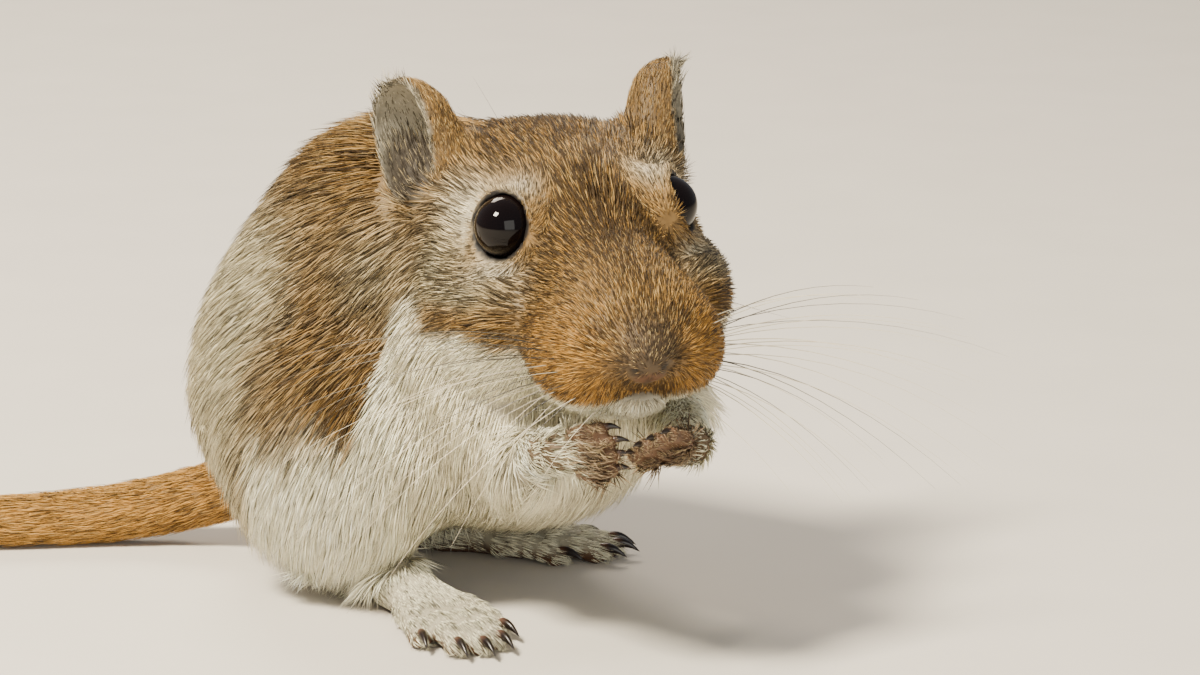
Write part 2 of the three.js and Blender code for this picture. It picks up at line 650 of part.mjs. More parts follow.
// Tuft at the tail's tip: a core and tapered locks that overlap along it
const LOCKS = 15;
const LOCK_LENGTH = 13;
function tuft() {
  const random = randomSource(SEED);
  const start = TAIL_CUTS[3] + tailGap;
  const coreRadius = (t) => THREE.MathUtils.lerp(TAIL_END_RADIUS, 0.5, (t - start) / (1 - start));
  const core = (t) => [coreRadius(t), coreRadius(t)];
  let solid = tube(tailCurve, core, 8, 5, start, 1);
  for (let n = 0; n < LOCKS; n++) {
    const t = start + 0.008 + ((1 - start) * 0.85 * n) / LOCKS;
    const along = tailCurve.getTangentAt(t);
    const turn = rad(137.5 * n);
    const across = V(0, 0, 0).crossVectors(along, V(0, 0, 1)).normalize();
    const outward = across.multiplyScalar(Math.cos(turn)).addScaledVector(V(0, 0, 1), Math.sin(turn));
    const reach = LOCK_LENGTH * (0.8 + 0.35 * random());
    const root = tailCurve.getPointAt(t);
    const points = [0, 0.5, 1].map((s) =>
      root.clone()
        .addScaledVector(along, reach * s)
        .addScaledVector(outward, 0.6 + 1.9 * s * (0.7 + 0.3 * random()))
        .toArray());
    const lockShape = (s) => [1.35 * (1 - 0.82 * s), 1 - 0.8 * s];
    solid = solid.add(tube(curveThrough(...points), lockShape, 4, 2));
  }
  return solid.intersect(above(0));
}

// Parts
let torso = bodyNet.subtract(headCut);
for (const side of Object.values(SIDES)) torso = torso.subtract(haunchTool(side, GAP));
const neck = torso.intersect(beyondNeck(GAP / 2));
torso = torso.subtract(beyondNeck(-GAP / 2)).subtract(tube(tailCurve, tailShape(GAP), 10, 8, 0, 0.25));
for (const name of Object.keys(SIDES)) {
  torso = torso.subtract(armTool(name, GAP)).subtract(footNet(name, GAP + NET_SLACK, 2));
}
node("torso", torso, COATS.agouti);
node("neck", neck, COATS.agouti);
node("head", head, COATS.agouti);
node("nose", nose, COATS.skin);
node("jaw", net(jawForm, JAW_LOW, JAW_HIGH, 1.8).subtract(coatBlock), COATS.cream);
for (const [name, side] of Object.entries(SIDES)) {
  node(`eye_${name}`, ball(eyeCentre(side), round(EYE_RADIUS), headFrame, undefined, 14), COATS.eye);
  node(`ear_${name}`, ear(name), COATS.agouti);
  node(`whisker_pad_${name}`, whiskerPad(side), COATS.cream);
  const armPiece = bodyNet.intersect(armTool(name, 0)).subtract(headCut).subtract(haunchTool(side, GAP));
  node(`upper_arm_${name}`, armPiece.subtract(beyondNeck(-GAP / 2)), COATS.cream);
  const forearm = net(bar(ELBOW[name], WRIST[name], ...FOREARM_RADII), ARM_LOW, ARM_HIGH, 1.83);
  node(`forearm_${name}`, forearm.subtract(coatBlock).subtract(wristPlane(name, -GAP / 2)), COATS.cream);
  let hand = net(palmForm(name), ARM_LOW, ARM_HIGH, 1.25);
  FINGERS.forEach((offset, n) => {
    const [, knuckle, tip] = fingerLine(name, offset);
    hand = hand.add(finger(name, offset));
    const way = V(...tip).sub(V(...knuckle)).normalize();
    const start = V(...tip).addScaledVector(way, GAP).toArray();
    node(`fore_claw_${name}_${n + 1}`, claw(start, way.toArray(), 1.5, 0.38), COATS.claw);
  });
  node(`hand_${name}`, hand.intersect(wristPlane(name, GAP / 2)), COATS.skin);
  const leg = bodyNet.intersect(haunchTool(side, 0)).subtract(footNet(name, GAP + NET_SLACK, 2));
  node(`thigh_${name}`, leg.intersect(beyondKnee(GAP / 2)), COATS.cream);
  node(`shank_${name}`, leg.subtract(beyondKnee(-GAP / 2)), COATS.cream);
  let foot = footNet(name, 0, 1.9);
  TOES.forEach((_, n) => {
    const curve = toeCurve(name, n);
    foot = foot.add(tube(curve, toeShape, 6, 3));
    const way = curve.getTangentAt(1).setZ(0.08).normalize();
    const start = curve.getPointAt(1).addScaledVector(way, GAP + 0.1);
    const shape = claw(start.toArray(), way.toArray(), CLAW_LENGTH, CLAW_RADIUS);
    node(`hind_claw_${name}_${n + 1}`, shape, COATS.claw);
  });
  foot = foot.intersect(above(0));
  node(`hind_foot_${name}`, foot, COATS.skin);
}
node("tail_base", tailPart(0, 8), COATS.agouti);
node("tail_middle", tailPart(1, 6), COATS.agouti);
node("tail_end", tailPart(2, 6), COATS.agouti);
node("tail_tuft", tuft(), COATS.agouti);

// The origin is the middle of the box's underside
const box = new THREE.Box3().setFromObject(root);
const middle = box.getCenter(V(0, 0, 0));
for (const mesh of root.children) mesh.geometry.translate(-middle.x, -middle.y, -box.min.z);

export default root;
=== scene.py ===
"""A golden agouti gerbil sitting on its hind feet.

Builds its skin, coat, eyes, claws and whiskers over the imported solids.
"""

import math

import bpy
import numpy as np
from bpy.props import FloatProperty, FloatVectorProperty, IntProperty, PointerProperty
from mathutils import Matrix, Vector
from mathutils.bvhtree import BVHTree


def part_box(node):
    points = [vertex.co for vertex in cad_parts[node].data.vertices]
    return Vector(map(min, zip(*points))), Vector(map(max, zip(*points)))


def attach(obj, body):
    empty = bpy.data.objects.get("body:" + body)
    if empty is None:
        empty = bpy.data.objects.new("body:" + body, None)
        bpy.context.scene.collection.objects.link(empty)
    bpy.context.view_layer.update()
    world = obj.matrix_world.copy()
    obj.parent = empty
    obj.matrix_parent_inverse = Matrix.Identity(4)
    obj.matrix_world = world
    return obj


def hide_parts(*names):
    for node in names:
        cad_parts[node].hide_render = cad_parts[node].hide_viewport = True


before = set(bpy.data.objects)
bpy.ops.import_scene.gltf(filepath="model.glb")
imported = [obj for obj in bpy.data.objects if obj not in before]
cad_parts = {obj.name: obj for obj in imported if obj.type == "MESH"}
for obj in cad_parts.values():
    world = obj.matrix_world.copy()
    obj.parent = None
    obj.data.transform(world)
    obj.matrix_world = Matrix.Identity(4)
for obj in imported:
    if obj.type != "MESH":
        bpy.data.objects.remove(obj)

bl_info = {
    "name": "Sitting gerbil",
    "version": (1, 0, 0),
    "blender": (4, 5, 0),
    "location": "View3D > Sidebar > Gerbil",
    "description": "Builds the skin, coat, eyes, claws and whiskers of a sitting gerbil",
    "category": "Add Mesh",
}

SIDES = {"right": -1.0, "left": 1.0}


def linear(code):
    """sRGB hex text to linear red, green and blue."""
    value = np.array([int(code[i : i + 2], 16) for i in (1, 3, 5)]) / 255.0
    return np.where(value <= 0.04045, value / 12.92, ((value + 0.055) / 1.055) ** 2.4)


# Sizes in millimetres, in the animal's own frame: floor at z = 0, body facing -Y, right side towards -X

EYE_RADIUS = 2.85
EYE_PLACE = np.array([7.4, -1.2, 0.6])
EYE_AXIS = {-1: np.array([0.76, -0.6, 0.25]), 1: np.array([0.88, -0.4, 0.26])}
LID_SETBACK = {-1: 0.55, 1: 1.2}
HEAD_PLACE = np.array([-8.8, -24.8, 38.2])
HEAD_PITCH, HEAD_ROLL, HEAD_YAW = -3.0, -4.0, -45.0


def turn_x(a):
    c, s = math.cos(math.radians(a)), math.sin(math.radians(a))
    return np.array([[1, 0, 0], [0, c, -s], [0, s, c]])


def turn_y(a):
    c, s = math.cos(math.radians(a)), math.sin(math.radians(a))
    return np.array([[c, 0, s], [0, 1, 0], [-s, 0, c]])


def turn_z(a):
    c, s = math.cos(math.radians(a)), math.sin(math.radians(a))
    return np.array([[c, -s, 0], [s, c, 0], [0, 0, 1]])


HEAD_TURN = turn_z(HEAD_YAW) @ turn_y(HEAD_ROLL) @ turn_x(HEAD_PITCH)


def to_head(p):
    return (p - HEAD_PLACE) @ HEAD_TURN


def from_head(p):
    return np.asarray(p, float) @ HEAD_TURN.T + HEAD_PLACE


def on_side(point, side):
    return np.asarray(point, float) * np.array([side, 1, 1])


def unit(v):
    v = np.asarray(v, float)
    return v / np.maximum(np.linalg.norm(v, axis=-1, keepdims=True), 1e-9)


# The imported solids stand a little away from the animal's own frame. The right eye gives the shift.
_low, _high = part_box("eye_right")
SHIFT = np.array((_low + _high) / 2) * 1000 - from_head(on_side(EYE_PLACE, -1))


def metres(p):
    return (np.asarray(p) + SHIFT) / 1000


# Forms: distance in mm from points to a surface, negative inside


def ellipsoid(p, centre, radii, turn=(0, 0, 0)):
    spin = turn_x(turn[0]) @ turn_y(turn[1]) @ turn_z(turn[2])
    q = (p - np.asarray(centre)) @ spin
    radii = np.asarray(radii, float)
    near = np.sqrt(((q / radii) ** 2).sum(-1))
    slope = np.sqrt(((q / radii**2) ** 2).sum(-1))
    return near * (near - 1) / np.maximum(slope, 1e-6)


def bar(p, start, end, r0, r1):
    start, along = np.asarray(start, float), np.asarray(end, float) - np.asarray(start, float)
    t = np.clip(((p - start) @ along) / (along @ along), 0, 1)
    return np.linalg.norm(p - start - t[..., None] * along, axis=-1) - (r0 + (r1 - r0) * t)


def soft_min(a, b, k):
    h = np.maximum(k - np.abs(a - b), 0) / k
    return np.minimum(a, b) - h * h * k / 4


def soft_max(a, b, k):
    return -soft_min(-a, -b, k)


def blend(k, forms):
    total = forms[0]
    for form in forms[1:]:
        total = soft_min(total, form, k)
    return total


def smooth(x, low, high):
    t = np.clip((x - low) / (high - low), 0, 1)
    return t * t * (3 - 2 * t)


# Limbs and tail, in the animal's own frame

SHOULDER = {"right": (-11, -14, 25), "left": (10, -15, 26)}
ELBOW = {"right": (-12.5, -20.5, 16.5), "left": (6.5, -25.5, 18)}
WRIST = {"right": (-19.8, -28.6, 19.9), "left": (-13.1, -38.1, 20.2)}
PALM_END = {"right": (-21, -31.2, 20.3), "left": (-18.2, -38.7, 21)}
GRIP = {"right": (0.9, -2.2, 0.6), "left": (-2.6, 0.2, 1.2)}
FINGERS = (-1.9, -0.65, 0.65, 1.9)
HEEL = {"right": (-6.5, 0.5), "left": (5.5, 8.5)}
SPLAY = {"right": -33.0, "left": 18.0}
TOES = (-3.3, -1.8, 0.0, 1.8, 3.3)
TOE_TIPS = (20.5, 24.2, 25.0, 24.2, 21.0)
TOE_ROOT = 15.5
TOE_HEIGHT = 1.05
TAIL_POINTS = (
    (-0.5, 16.5, 7), (-1.8, 22.5, 4.7), (-5.8, 30, 3), (-13, 40, 2.5),
    (-21.5, 54, 2.15), (-27, 71, 1.9), (-27, 90, 1.8), (-23.5, 103, 1.5),
)


def smooth_path(points, count):
    """Points evenly spaced on a centripetal curve through the given ones."""
    pts = np.asarray(points, float)
    pts = np.vstack([2 * pts[0] - pts[1], pts, 2 * pts[-1] - pts[-2]])
    knots = np.concatenate([[0], np.cumsum(np.linalg.norm(np.diff(pts, axis=0), axis=1) ** 0.5)])
    dense = []
    for i in range(1, len(pts) - 2):
        t0, t1, t2, t3 = knots[i - 1 : i + 3]
        t = np.linspace(t1, t2, 24, endpoint=i == len(pts) - 3)[:, None]
        a1 = (t1 - t) / (t1 - t0) * pts[i - 1] + (t - t0) / (t1 - t0) * pts[i]
        a2 = (t2 - t) / (t2 - t1) * pts[i] + (t - t1) / (t2 - t1) * pts[i + 1]
        a3 = (t3 - t) / (t3 - t2) * pts[i + 1] + (t - t2) / (t3 - t2) * pts[i + 2]
        b1 = (t2 - t) / (t2 - t0) * a1 + (t - t0) / (t2 - t0) * a2
        b2 = (t3 - t) / (t3 - t1) * a2 + (t - t1) / (t3 - t1) * a3
        dense.append((t2 - t) / (t2 - t1) * b1 + (t - t1) / (t2 - t1) * b2)
    dense = np.vstack(dense)
    run = np.concatenate([[0], np.cumsum(np.linalg.norm(np.diff(dense, axis=0), axis=1))])
    at = np.linspace(0, run[-1], count)
    return np.stack([np.interp(at, run, dense[:, i]) for i in range(3)], axis=1)


TAIL_PATH = smooth_path(TAIL_POINTS, 40)
TAIL_ROOT_RADIUS, TAIL_END_RADIUS, TAIL_TIP_RADIUS = 3.6, 2.0, 0.5
TAIL_CORE = 0.4  # least radius of the skin on the tail
TUFT_START = 0.8  # share of the tail's length where the dark tuft begins


def tail_radius(t):
    """Radius along the tail, which thins to a core inside the tuft."""
    whole = TAIL_ROOT_RADIUS + (TAIL_END_RADIUS - TAIL_ROOT_RADIUS) * min(1, t * 1.3) ** 0.7
    core = TAIL_END_RADIUS + (TAIL_TIP_RADIUS - TAIL_END_RADIUS) * (t - TUFT_START) / (1 - TUFT_START)
    return core if t > TUFT_START else whole


def on_foot(name, across, along, height):
    turn = math.radians(SPLAY[name])
    x, y = HEEL[name]
    return np.array(
        [
            x + along * math.sin(turn) + across * math.cos(turn),
            y - along * math.cos(turn) + across * math.sin(turn),
            height,
        ]
    )


def toe_line(name, n, count=5):
    t = np.linspace(0, 1, count)
    along = TOE_ROOT - 1 + (TOE_TIPS[n] - TOE_ROOT + 1) * t
    height = 1.6 + (TOE_HEIGHT - 1.6) * t + 0.35 * np.sin(math.pi * t)
    across = TOES[n] * (0.7 + 0.45 * t)
    return np.array([on_foot(name, c, a, h) for c, a, h in zip(across, along, height)])


def palm_axes(name):
    wrist, end = np.array(WRIST[name], float), np.array(PALM_END[name], float)
    along = unit(end - wrist)
    grip = np.array(GRIP[name])
    return wrist, end, along, unit(np.cross(along, grip)), grip


def finger_line(name, offset):
    _, end, along, across, grip = palm_axes(name)
    spread = 1 - 0.12 * abs(offset)
    knuckle = end + across * offset + along * 1.7 * spread
    return np.array([end + across * offset * 0.85, knuckle, knuckle + grip * 0.85 * spread])


def limb_forms(p, thin):
    """Each limb's distance; thin is the depth that the coat takes from its radii."""
    forms = {}
    for name in SIDES:
        forms["arm_" + name] = bar(p, ELBOW[name], WRIST[name], 3.6 - thin, 2.2 - thin * 0.6)
        wrist, end, *_ = palm_axes(name)
        hand = [bar(p, wrist, end, 2.0 - 0.4 * thin, 1.5 - 0.2 * thin)]
        for offset in FINGERS:
            root, knuckle, tip = finger_line(name, offset)
            hand.append(bar(p, root, knuckle, 0.85, 0.72))
            hand.append(bar(p, knuckle, tip, 0.74, 0.55))
            hand.append(ellipsoid(p, tip, (0.66, 0.66, 0.66)))
        forms["hand_" + name] = blend(0.35, hand)
        foot = [
            bar(p, on_foot(name, 0, 1.5, 2.6), on_foot(name, 0, 9, 2.4), 2.9 - 0.5 * thin, 2.6 - 0.5 * thin),
            bar(p, on_foot(name, 0, 8, 2.4), on_foot(name, -1.6, TOE_ROOT + 1, 1.6), 2.4 - 0.4 * thin, 1.75),
            bar(p, on_foot(name, 0, 8, 2.4), on_foot(name, 1.6, TOE_ROOT + 1, 1.6), 2.4 - 0.4 * thin, 1.75),
        ]
        foot = [blend(1.6, foot)]
        for n in range(len(TOES)):
            line = toe_line(name, n)
            for i in range(4):
                r0, r1 = 1.22 - 0.07 * i, 1.22 - 0.07 * (i + 1)
                foot.append(bar(p, line[i], line[i + 1], r0, r1))
            pad = line[-1] - np.array([0, 0, 0.35])
            foot.append(ellipsoid(p, pad, (1.0, 1.0, 0.7)))
        forms["foot_" + name] = np.maximum(blend(0.45, foot), 0.02 - p[..., 2])
    last = len(TAIL_PATH) - 1
    tail = 1e3
    for i in range(0, last, 2):
        j = min(i + 2, last)
        r0, r1 = (max(tail_radius(k / last) - thin * 0.55, TAIL_CORE) for k in (i, j))
        tail = np.minimum(tail, bar(p, TAIL_PATH[i], TAIL_PATH[j], r0, r1))
    forms["tail"] = np.maximum(tail, 0.25 - p[..., 2])
    return forms


def trunk_form(p):
    """The coat's surface on the trunk, haunches and upper arms."""
    trunk = blend(
        7,
        [
            ellipsoid(p, (0, 7, 17.8), (15.8, 14.8, 16.4)),
            ellipsoid(p, (0.5, -0.5, 26.4), (14.5, 16.6, 18.9)),
            ellipsoid(p, (-0.5, -8, 17.5), (15, 16, 11.5)),
            ellipsoid(p, (-1, -17, 21), (13, 12.5, 12.5)),
            ellipsoid(p, (0, -11, 31), (12, 12, 12.5)),
        ],
    )
    parts = [trunk]
    for side in (-1, 1):
        parts.append(ellipsoid(p, (12.5 * side, -0.5, 14.5), (8, 12.2, 12.6), (10, 0, -8 * side)))
    for name in SIDES:
        parts.append(bar(p, SHOULDER[name], ELBOW[name], 6.4, 4.8))
    return np.maximum(blend(4, parts), 1.2 - p[..., 2])


def skull_form(h):
    """The coat's surface on the head, from points in the head's frame."""
    return blend(
        4,
        [
            ellipsoid(h, (0, 9.5, -0.6), (11.6, 12.5, 9.6)),
            ellipsoid(h, (0, 0.5, -1), (7.4, 7.2, 7.4)),
            ellipsoid(h, (-7.6, 3, -7.6), (6.4, 9.8, 7.4)),
            ellipsoid(h, (7.6, 3, -7.6), (6.4, 9.8, 7.4)),
            ellipsoid(h, (0, -8, -5), (6, 10.4, 5.6), (17, 0, 0)),
            ellipsoid(h, (-3.9, -10.8, -9.8), (5, 6.4, 5.1)),
            ellipsoid(h, (3.9, -10.8, -9.8), (5, 6.4, 5.1)),
        ],
    )


# each ear's root, the way it stands and the way its cup opens, in the head's frame
EARS = {-1: ((10.9, 10.4, 0.7), (0.16, 0.15, 0.96), (0.82, -0.55, 0.05)),
        1: ((10.0, 10.4, -0.2), (0.2, 0.15, 0.95), (0.9, -0.42, 0.05))}
EAR_STALK = ((8.8, 9.6, 3.6), (10.6, 10.2, 9.6))
STALK_RADII = (3.1, 1.5)


def ear_frame(side):
    root, up, opening = (np.array(v, float) for v in EARS[side])
    up = unit(up)
    opening = unit(opening - opening @ up * up)
    return root, np.stack([np.cross(up, opening), up, opening], 1)


def ear_axes(h, side):
    root, axes = ear_frame(side)
    return (h * np.array([side, 1, 1]) - root) @ axes


def ear_stalk(h, side):
    """The stalk that carries an ear."""
    root, top = (on_side(point, side) for point in EAR_STALK)
    return bar(h, root, top, *STALK_RADII)


def height_on_ear(h):
    """Height above the root of the ear on each point's own side."""
    return np.where(h[:, 0] > 0, ear_axes(h, 1)[:, 1], ear_axes(h, -1)[:, 1])


def ear_shell(q):
    top = ellipsoid(q, (0, 9.0, 0.1), (3.4, 3.5, 3.0))
    return soft_min(ellipsoid(q, (0, 5.4, 0.1), (4.1, 6.4, 3.3)), top, 1.5)


def ear_hollow(q):
    top = ellipsoid(q, (0.1, 8.9, 1.5), (2.9, 3.1, 3.5))
    return soft_min(ellipsoid(q, (0.1, 6.2, 1.8), (3.3, 5.6, 3.6)), top, 1.5)


def eye_axes(h, side):
    """Distance along an eye's axis and away from it, from the eye's centre."""
    q = h * np.array([side, 1, 1]) - EYE_PLACE
    along = q @ unit(EYE_AXIS[side])
    return along, np.sqrt(np.maximum((q**2).sum(-1) - along**2, 0)), np.sqrt((q**2).sum(-1))


LID_REACH = {side: math.sqrt(EYE_RADIUS**2 - LID_SETBACK[side] ** 2) + 0.12 for side in (-1, 1)}
ORBIT = {-1: 3.25, 1: 3.5}  # reach of the flesh round each eye


def coat_depth(p, h):
    """How deep the skin lies under the coat's surface, in mm."""
    body = 1.45 + 0.25 * smooth(-p[..., 2], -30, -8)
    face = 0.25 + 0.75 * smooth(h[..., 1], -17, 2) + 0.3 * smooth(h[..., 1], 4, 14)
    on_head = smooth(-skull_form(h) + trunk_form(p) * 0.6, -1.5, 1.5)
    return body + (face - body) * on_head


NOSTRIL = np.array([1.45, -18.6, -10.6])


def skin_form(p):
    """The skin: the coat's surface drawn in by the coat's depth, with the folds of the face."""
    h = to_head(p)
    depth = coat_depth(p, h)
    whole = soft_min(trunk_form(p), skull_form(h), 5) + depth
    for side in (-1, 1):
        # the orbit carries the lids out round the ball
        whole = soft_min(whole, np.linalg.norm(h - on_side(EYE_PLACE, side), axis=-1) - ORBIT[side], 2.6)
        whole = soft_min(whole, ear_stalk(h, side), 2.6)
    jaw = blend(
        2, [ellipsoid(h, (0, -9.2, -13.8), (3.7, 6.1, 2.1)), ellipsoid(h, (0, -4, -13.4), (5.7, 6.7, 2.8))]
    )
    cleft = bar(h, (0, -19.5, -10.4), (0, -16.6, -15), 0.28, 0.35)
    whole = soft_max(whole, -cleft, 0.4)
    whole = soft_min(whole, jaw, 0.35)
    nose = ellipsoid(h, (0, -17.2, -9.1), (2.3, 1.85, 2.4))
    whole = soft_min(whole, nose, 1.6)
    for side in (-1, 1):
        spin = (0, -35 * side, 26 * side)
        nostril = ellipsoid(h, on_side(NOSTRIL, side), (0.75, 0.6, 0.26), spin)
        whole = soft_max(whole, -nostril, 0.2)
        along, away, far = eye_axes(h, side)
        reach, back = LID_REACH[side], LID_SETBACK[side]
        cone = np.maximum((away - reach - 0.9 * (along - back)) * 0.743, back - along)
        whole = soft_max(whole, -cone, 0.5)
        lid = np.hypot(away - reach - 0.12, along - back) - 0.34
        whole = soft_min(whole, lid, 0.4)
        whole = np.maximum(whole, EYE_RADIUS + 0.06 - far)
        q = ear_axes(h, side)
        cup = soft_max(ear_shell(q), -ear_hollow(q), 0.25)
        whole = soft_min(whole, cup, 1.3)
        whole = soft_max(whole, -ear_hollow(q), 0.3)
        deep = ellipsoid(q, (0.1, 4.6, 1.3), (2.4, 4.7, 2.9))
        whole = soft_max(whole, -deep, 0.6)
    limbs = limb_forms(p, 1.0)
    for name, form in limbs.items():
        whole = soft_min(whole, form, 2.2 if name == "tail" else 1.2 if name.startswith("arm") else 0.7)
    return whole


def slope_of(form, p, step=0.08):
    grad = np.empty_like(p)
    for i in range(3):
        e = np.zeros(3)
        e[i] = step
        grad[:, i] = form(p + e) - form(p - e)
    return grad / (2 * step)


def in_chunks(form, p, size=200000):
    return np.concatenate([form(p[i : i + size]) for i in range(0, len(p), size)])


def net(form, low, high, cell, ratio=4):
    """Vertices and quads of a form's surface, one vertex in each cell it crosses."""
    low = np.asarray(low, float)
    coarse = cell * ratio
    blocks = np.ceil((np.asarray(high) - low) / coarse).astype(int)
    axes = [low[i] + coarse * (np.arange(blocks[i]) + 0.5) for i in range(3)]
    centres = np.stack(np.meshgrid(*axes, indexing="ij"), -1).reshape(-1, 3)
    rough = in_chunks(form, centres)
    shape = blocks * ratio + 1
    value = np.repeat(np.repeat(np.repeat(rough.reshape(blocks), ratio, 0), ratio, 1), ratio, 2)
    value = np.pad(value, ((0, 1), (0, 1), (0, 1)), mode="edge").astype(np.float32)
    close = np.argwhere(np.abs(rough.reshape(blocks)) < coarse * 1.5)
    steps = np.stack(np.meshgrid(*[np.arange(ratio + 1)] * 3, indexing="ij"), -1).reshape(-1, 3)
    index = (close[:, None, :] * ratio + steps[None]).reshape(-1, 3)
    flat = np.unique(index[:, 0] + shape[0] * (index[:, 1] + shape[1] * index[:, 2]))
    i, rest = flat % shape[0], flat // shape[0]
    j, k = rest % shape[1], rest // shape[1]
    value[i, j, k] = in_chunks(form, low + cell * np.stack([i, j, k], -1))
    value[value == 0] = 1e-6
    inside = value < 0
    corners = [(a, b, c) for c in (0, 1) for b in (0, 1) for a in (0, 1)]
    n = shape - 1

    def part(array, a, b, c):
        return array[a : a + n[0], b : b + n[1], c : c + n[2]]

    count = sum(part(inside, *c).astype(np.int8) for c in corners)
    cells = np.argwhere((count > 0) & (count < 8))
    number = np.full(tuple(n), -1, np.int64)
    number[cells[:, 0], cells[:, 1], cells[:, 2]] = np.arange(len(cells))
    v = np.stack([value[cells[:, 0] + a, cells[:, 1] + b, cells[:, 2] + c] for a, b, c in corners], 1)
    total, hits = np.zeros((len(cells), 3)), np.zeros(len(cells))
    for a in range(8):
        for bit in (1, 2, 4):
            b = a | bit
            if b == a:
                continue
            cross = (v[:, a] < 0) != (v[:, b] < 0)
            t = np.where(cross, v[:, a] / np.where(cross, v[:, a] - v[:, b], 1), 0)
            ca, cb = np.array(corners[a]), np.array(corners[b])
            total += np.where(cross[:, None], ca + t[:, None] * (cb - ca), 0)
            hits += cross
    verts = low + cell * (cells + total / hits[:, None])
    for _ in range(2):
        value_here = in_chunks(form, verts)
        grad = slope_of(lambda q: in_chunks(form, q), verts)
        size = np.maximum((grad**2).sum(-1), 0.05)
        move = -(value_here / size)[:, None] * grad
        reach = np.linalg.norm(move, axis=1, keepdims=True)
        verts = verts + move * np.minimum(1, cell * 0.4 / np.maximum(reach, 1e-9))
    quads = []
    for axis in range(3):
        o1, o2 = (axis + 1) % 3, (axis + 2) % 3
        step = np.zeros(3, int)
        step[axis] = 1
        a = inside[: n[0], : n[1], : n[2]]
        b = inside[step[0] : n[0] + step[0], step[1] : n[1] + step[1], step[2] : n[2] + step[2]]
        where = np.argwhere(a != b)
        where = where[(where[:, o1] > 0) & (where[:, o2] > 0)]
        e1, e2 = np.zeros(3, int), np.zeros(3, int)
        e1[o1], e2[o2] = 1, 1
        ring = [where - e1 - e2, where - e2, where, where - e1]
        ids = np.stack([number[tuple(r.T)] for r in ring], 1)
        turned = ~a[tuple(where.T)]
        ids[turned] = ids[turned][:, ::-1]
        quads.append(ids[(ids >= 0).all(1)])
    return verts, np.vstack(quads)


# Meshes


def mesh_object(name, verts, faces, sides):
    """A mesh from flat arrays: verts in metres, faces as one row of `sides` indices each."""
    mesh = bpy.data.meshes.new(name)
    faces = np.asarray(faces, np.int32)
    mesh.vertices.add(len(verts))
    mesh.vertices.foreach_set("co", np.asarray(verts, np.float32).ravel())
    mesh.loops.add(faces.size)
    mesh.loops.foreach_set("vertex_index", faces.ravel())
    mesh.polygons.add(len(faces))
    mesh.polygons.foreach_set("loop_start", np.arange(0, faces.size, sides, dtype=np.int32))
    mesh.polygons.foreach_set("use_smooth", np.ones(len(faces), bool))
    mesh.update(calc_edges=True)
    obj = bpy.data.objects.new(name, mesh)
    bpy.context.scene.collection.objects.link(obj)
    return obj


def capped(rings, first, last):
    """Triangles of a closed surface through rings of points, shut at each end in one point.

    Each ring turns anticlockwise seen from the first point, so that the faces point outwards.
    """
    rows, columns = rings.shape[:2]
    verts = np.vstack([np.asarray(first)[None], rings.reshape(-1, 3), np.asarray(last)[None]])
    end = len(verts) - 1
    faces = []
    for j in range(columns):
        k = (j + 1) % columns
        faces.append((0, 1 + j, 1 + k))
        for i in range(rows - 1):
            a, b = 1 + i * columns, 1 + (i + 1) * columns
            faces += [(a + j, b + j, b + k), (a + j, b + k, a + k)]
        faces.append((end, end - columns + k, end - columns + j))
    return verts, np.array(faces)


def colour_layer(obj, name, colours):
    layer = obj.data.color_attributes.new(name, "FLOAT_COLOR", "POINT")
    rgba = np.ones((len(colours), 4), np.float32)
    rgba[:, :3] = colours
    layer.data.foreach_set("color", rgba.ravel())


def add_node(tree, kind, inputs=None, links=None, **settings):
    """A node with its settings, its unlinked values and its incoming links."""
    node = tree.nodes.new(kind)
    for key, value in settings.items():
        setattr(node, key, value)
    for key, value in (inputs or {}).items():
        node.inputs[key].default_value = value
    for key, socket in (links or {}).items():
        tree.links.new(socket, node.inputs[key])
    return node


def new_material(name):
    material = bpy.data.materials.new(name)
    material.use_nodes = True
    material.node_tree.nodes.clear()
    return material, material.node_tree


# Markings, shared by skin and coat. Each colour is a coat colour at the middle of its hairs.

TONES = {
    "golden": "#93703a",  # back and crown
    "tip_dark": "#21180f",  # dark guard hairs
    "tip_pale": "#e3c98f",  # pale bands
    "under": "#4f463c",  # slate underfur
    "cream": "#f3efd6",  # belly, throat, front of the haunch
    "cream_root": "#b9b09a",
    "orange": "#a67935",  # muzzle sides, cheek streak
    "tail": "#b98a43",
    "buff": "#e0d6ba",  # ring round the eye, behind the ear
    "smoke": "#c4bd9f",  # grizzled cheek and flank
    "sheen": "#d0c8a9",  # paler rump: painted sheen of the light on the coat
    "nose": "#614c31",
    "ear": "#a39d8a",  # grey hair inside the ear
    "skin": "#5e402b",
    "paw": "#6a4a2b",  # short hair on the fingers
    # dark rim of the lids; also painted shade in the nostrils, the groove under the nose and the mouth
    "lid": "#15100e",
    "foot": "#e4dfc4",
}
TONE = {name: linear(code) for name, code in TONES.items()}
DEEP = np.array([0.58, 0.52, 0.34])  # the crown and nose bridge against the golden coat: partly their darker hair, partly painted shade


def mix(base, tone, weight):
    return base + (tone - base) * np.clip(weight, 0, 1)[:, None]


def near(h, x, y, z, reach, mirrored=True):
    q = h.copy()
    if mirrored:
        q[:, 0] = np.abs(q[:, 0])
    return np.exp(-(((q - np.array([x, y, z])) / np.asarray(reach, float)) ** 2).sum(-1))


def nose_tip(h):
    """Nearness to the bare tip of the nose."""
    return near(h, 0, -18.2, -11.3, (2.2, 1.5, 0.9), False)


def nose_groove(h, half_width, back):
    """Whether each point lies in the groove under the nose."""
    return (np.abs(h[:, 0]) < half_width) & (h[:, 1] < back) & (h[:, 2] < -11) & (h[:, 2] > -14.5)


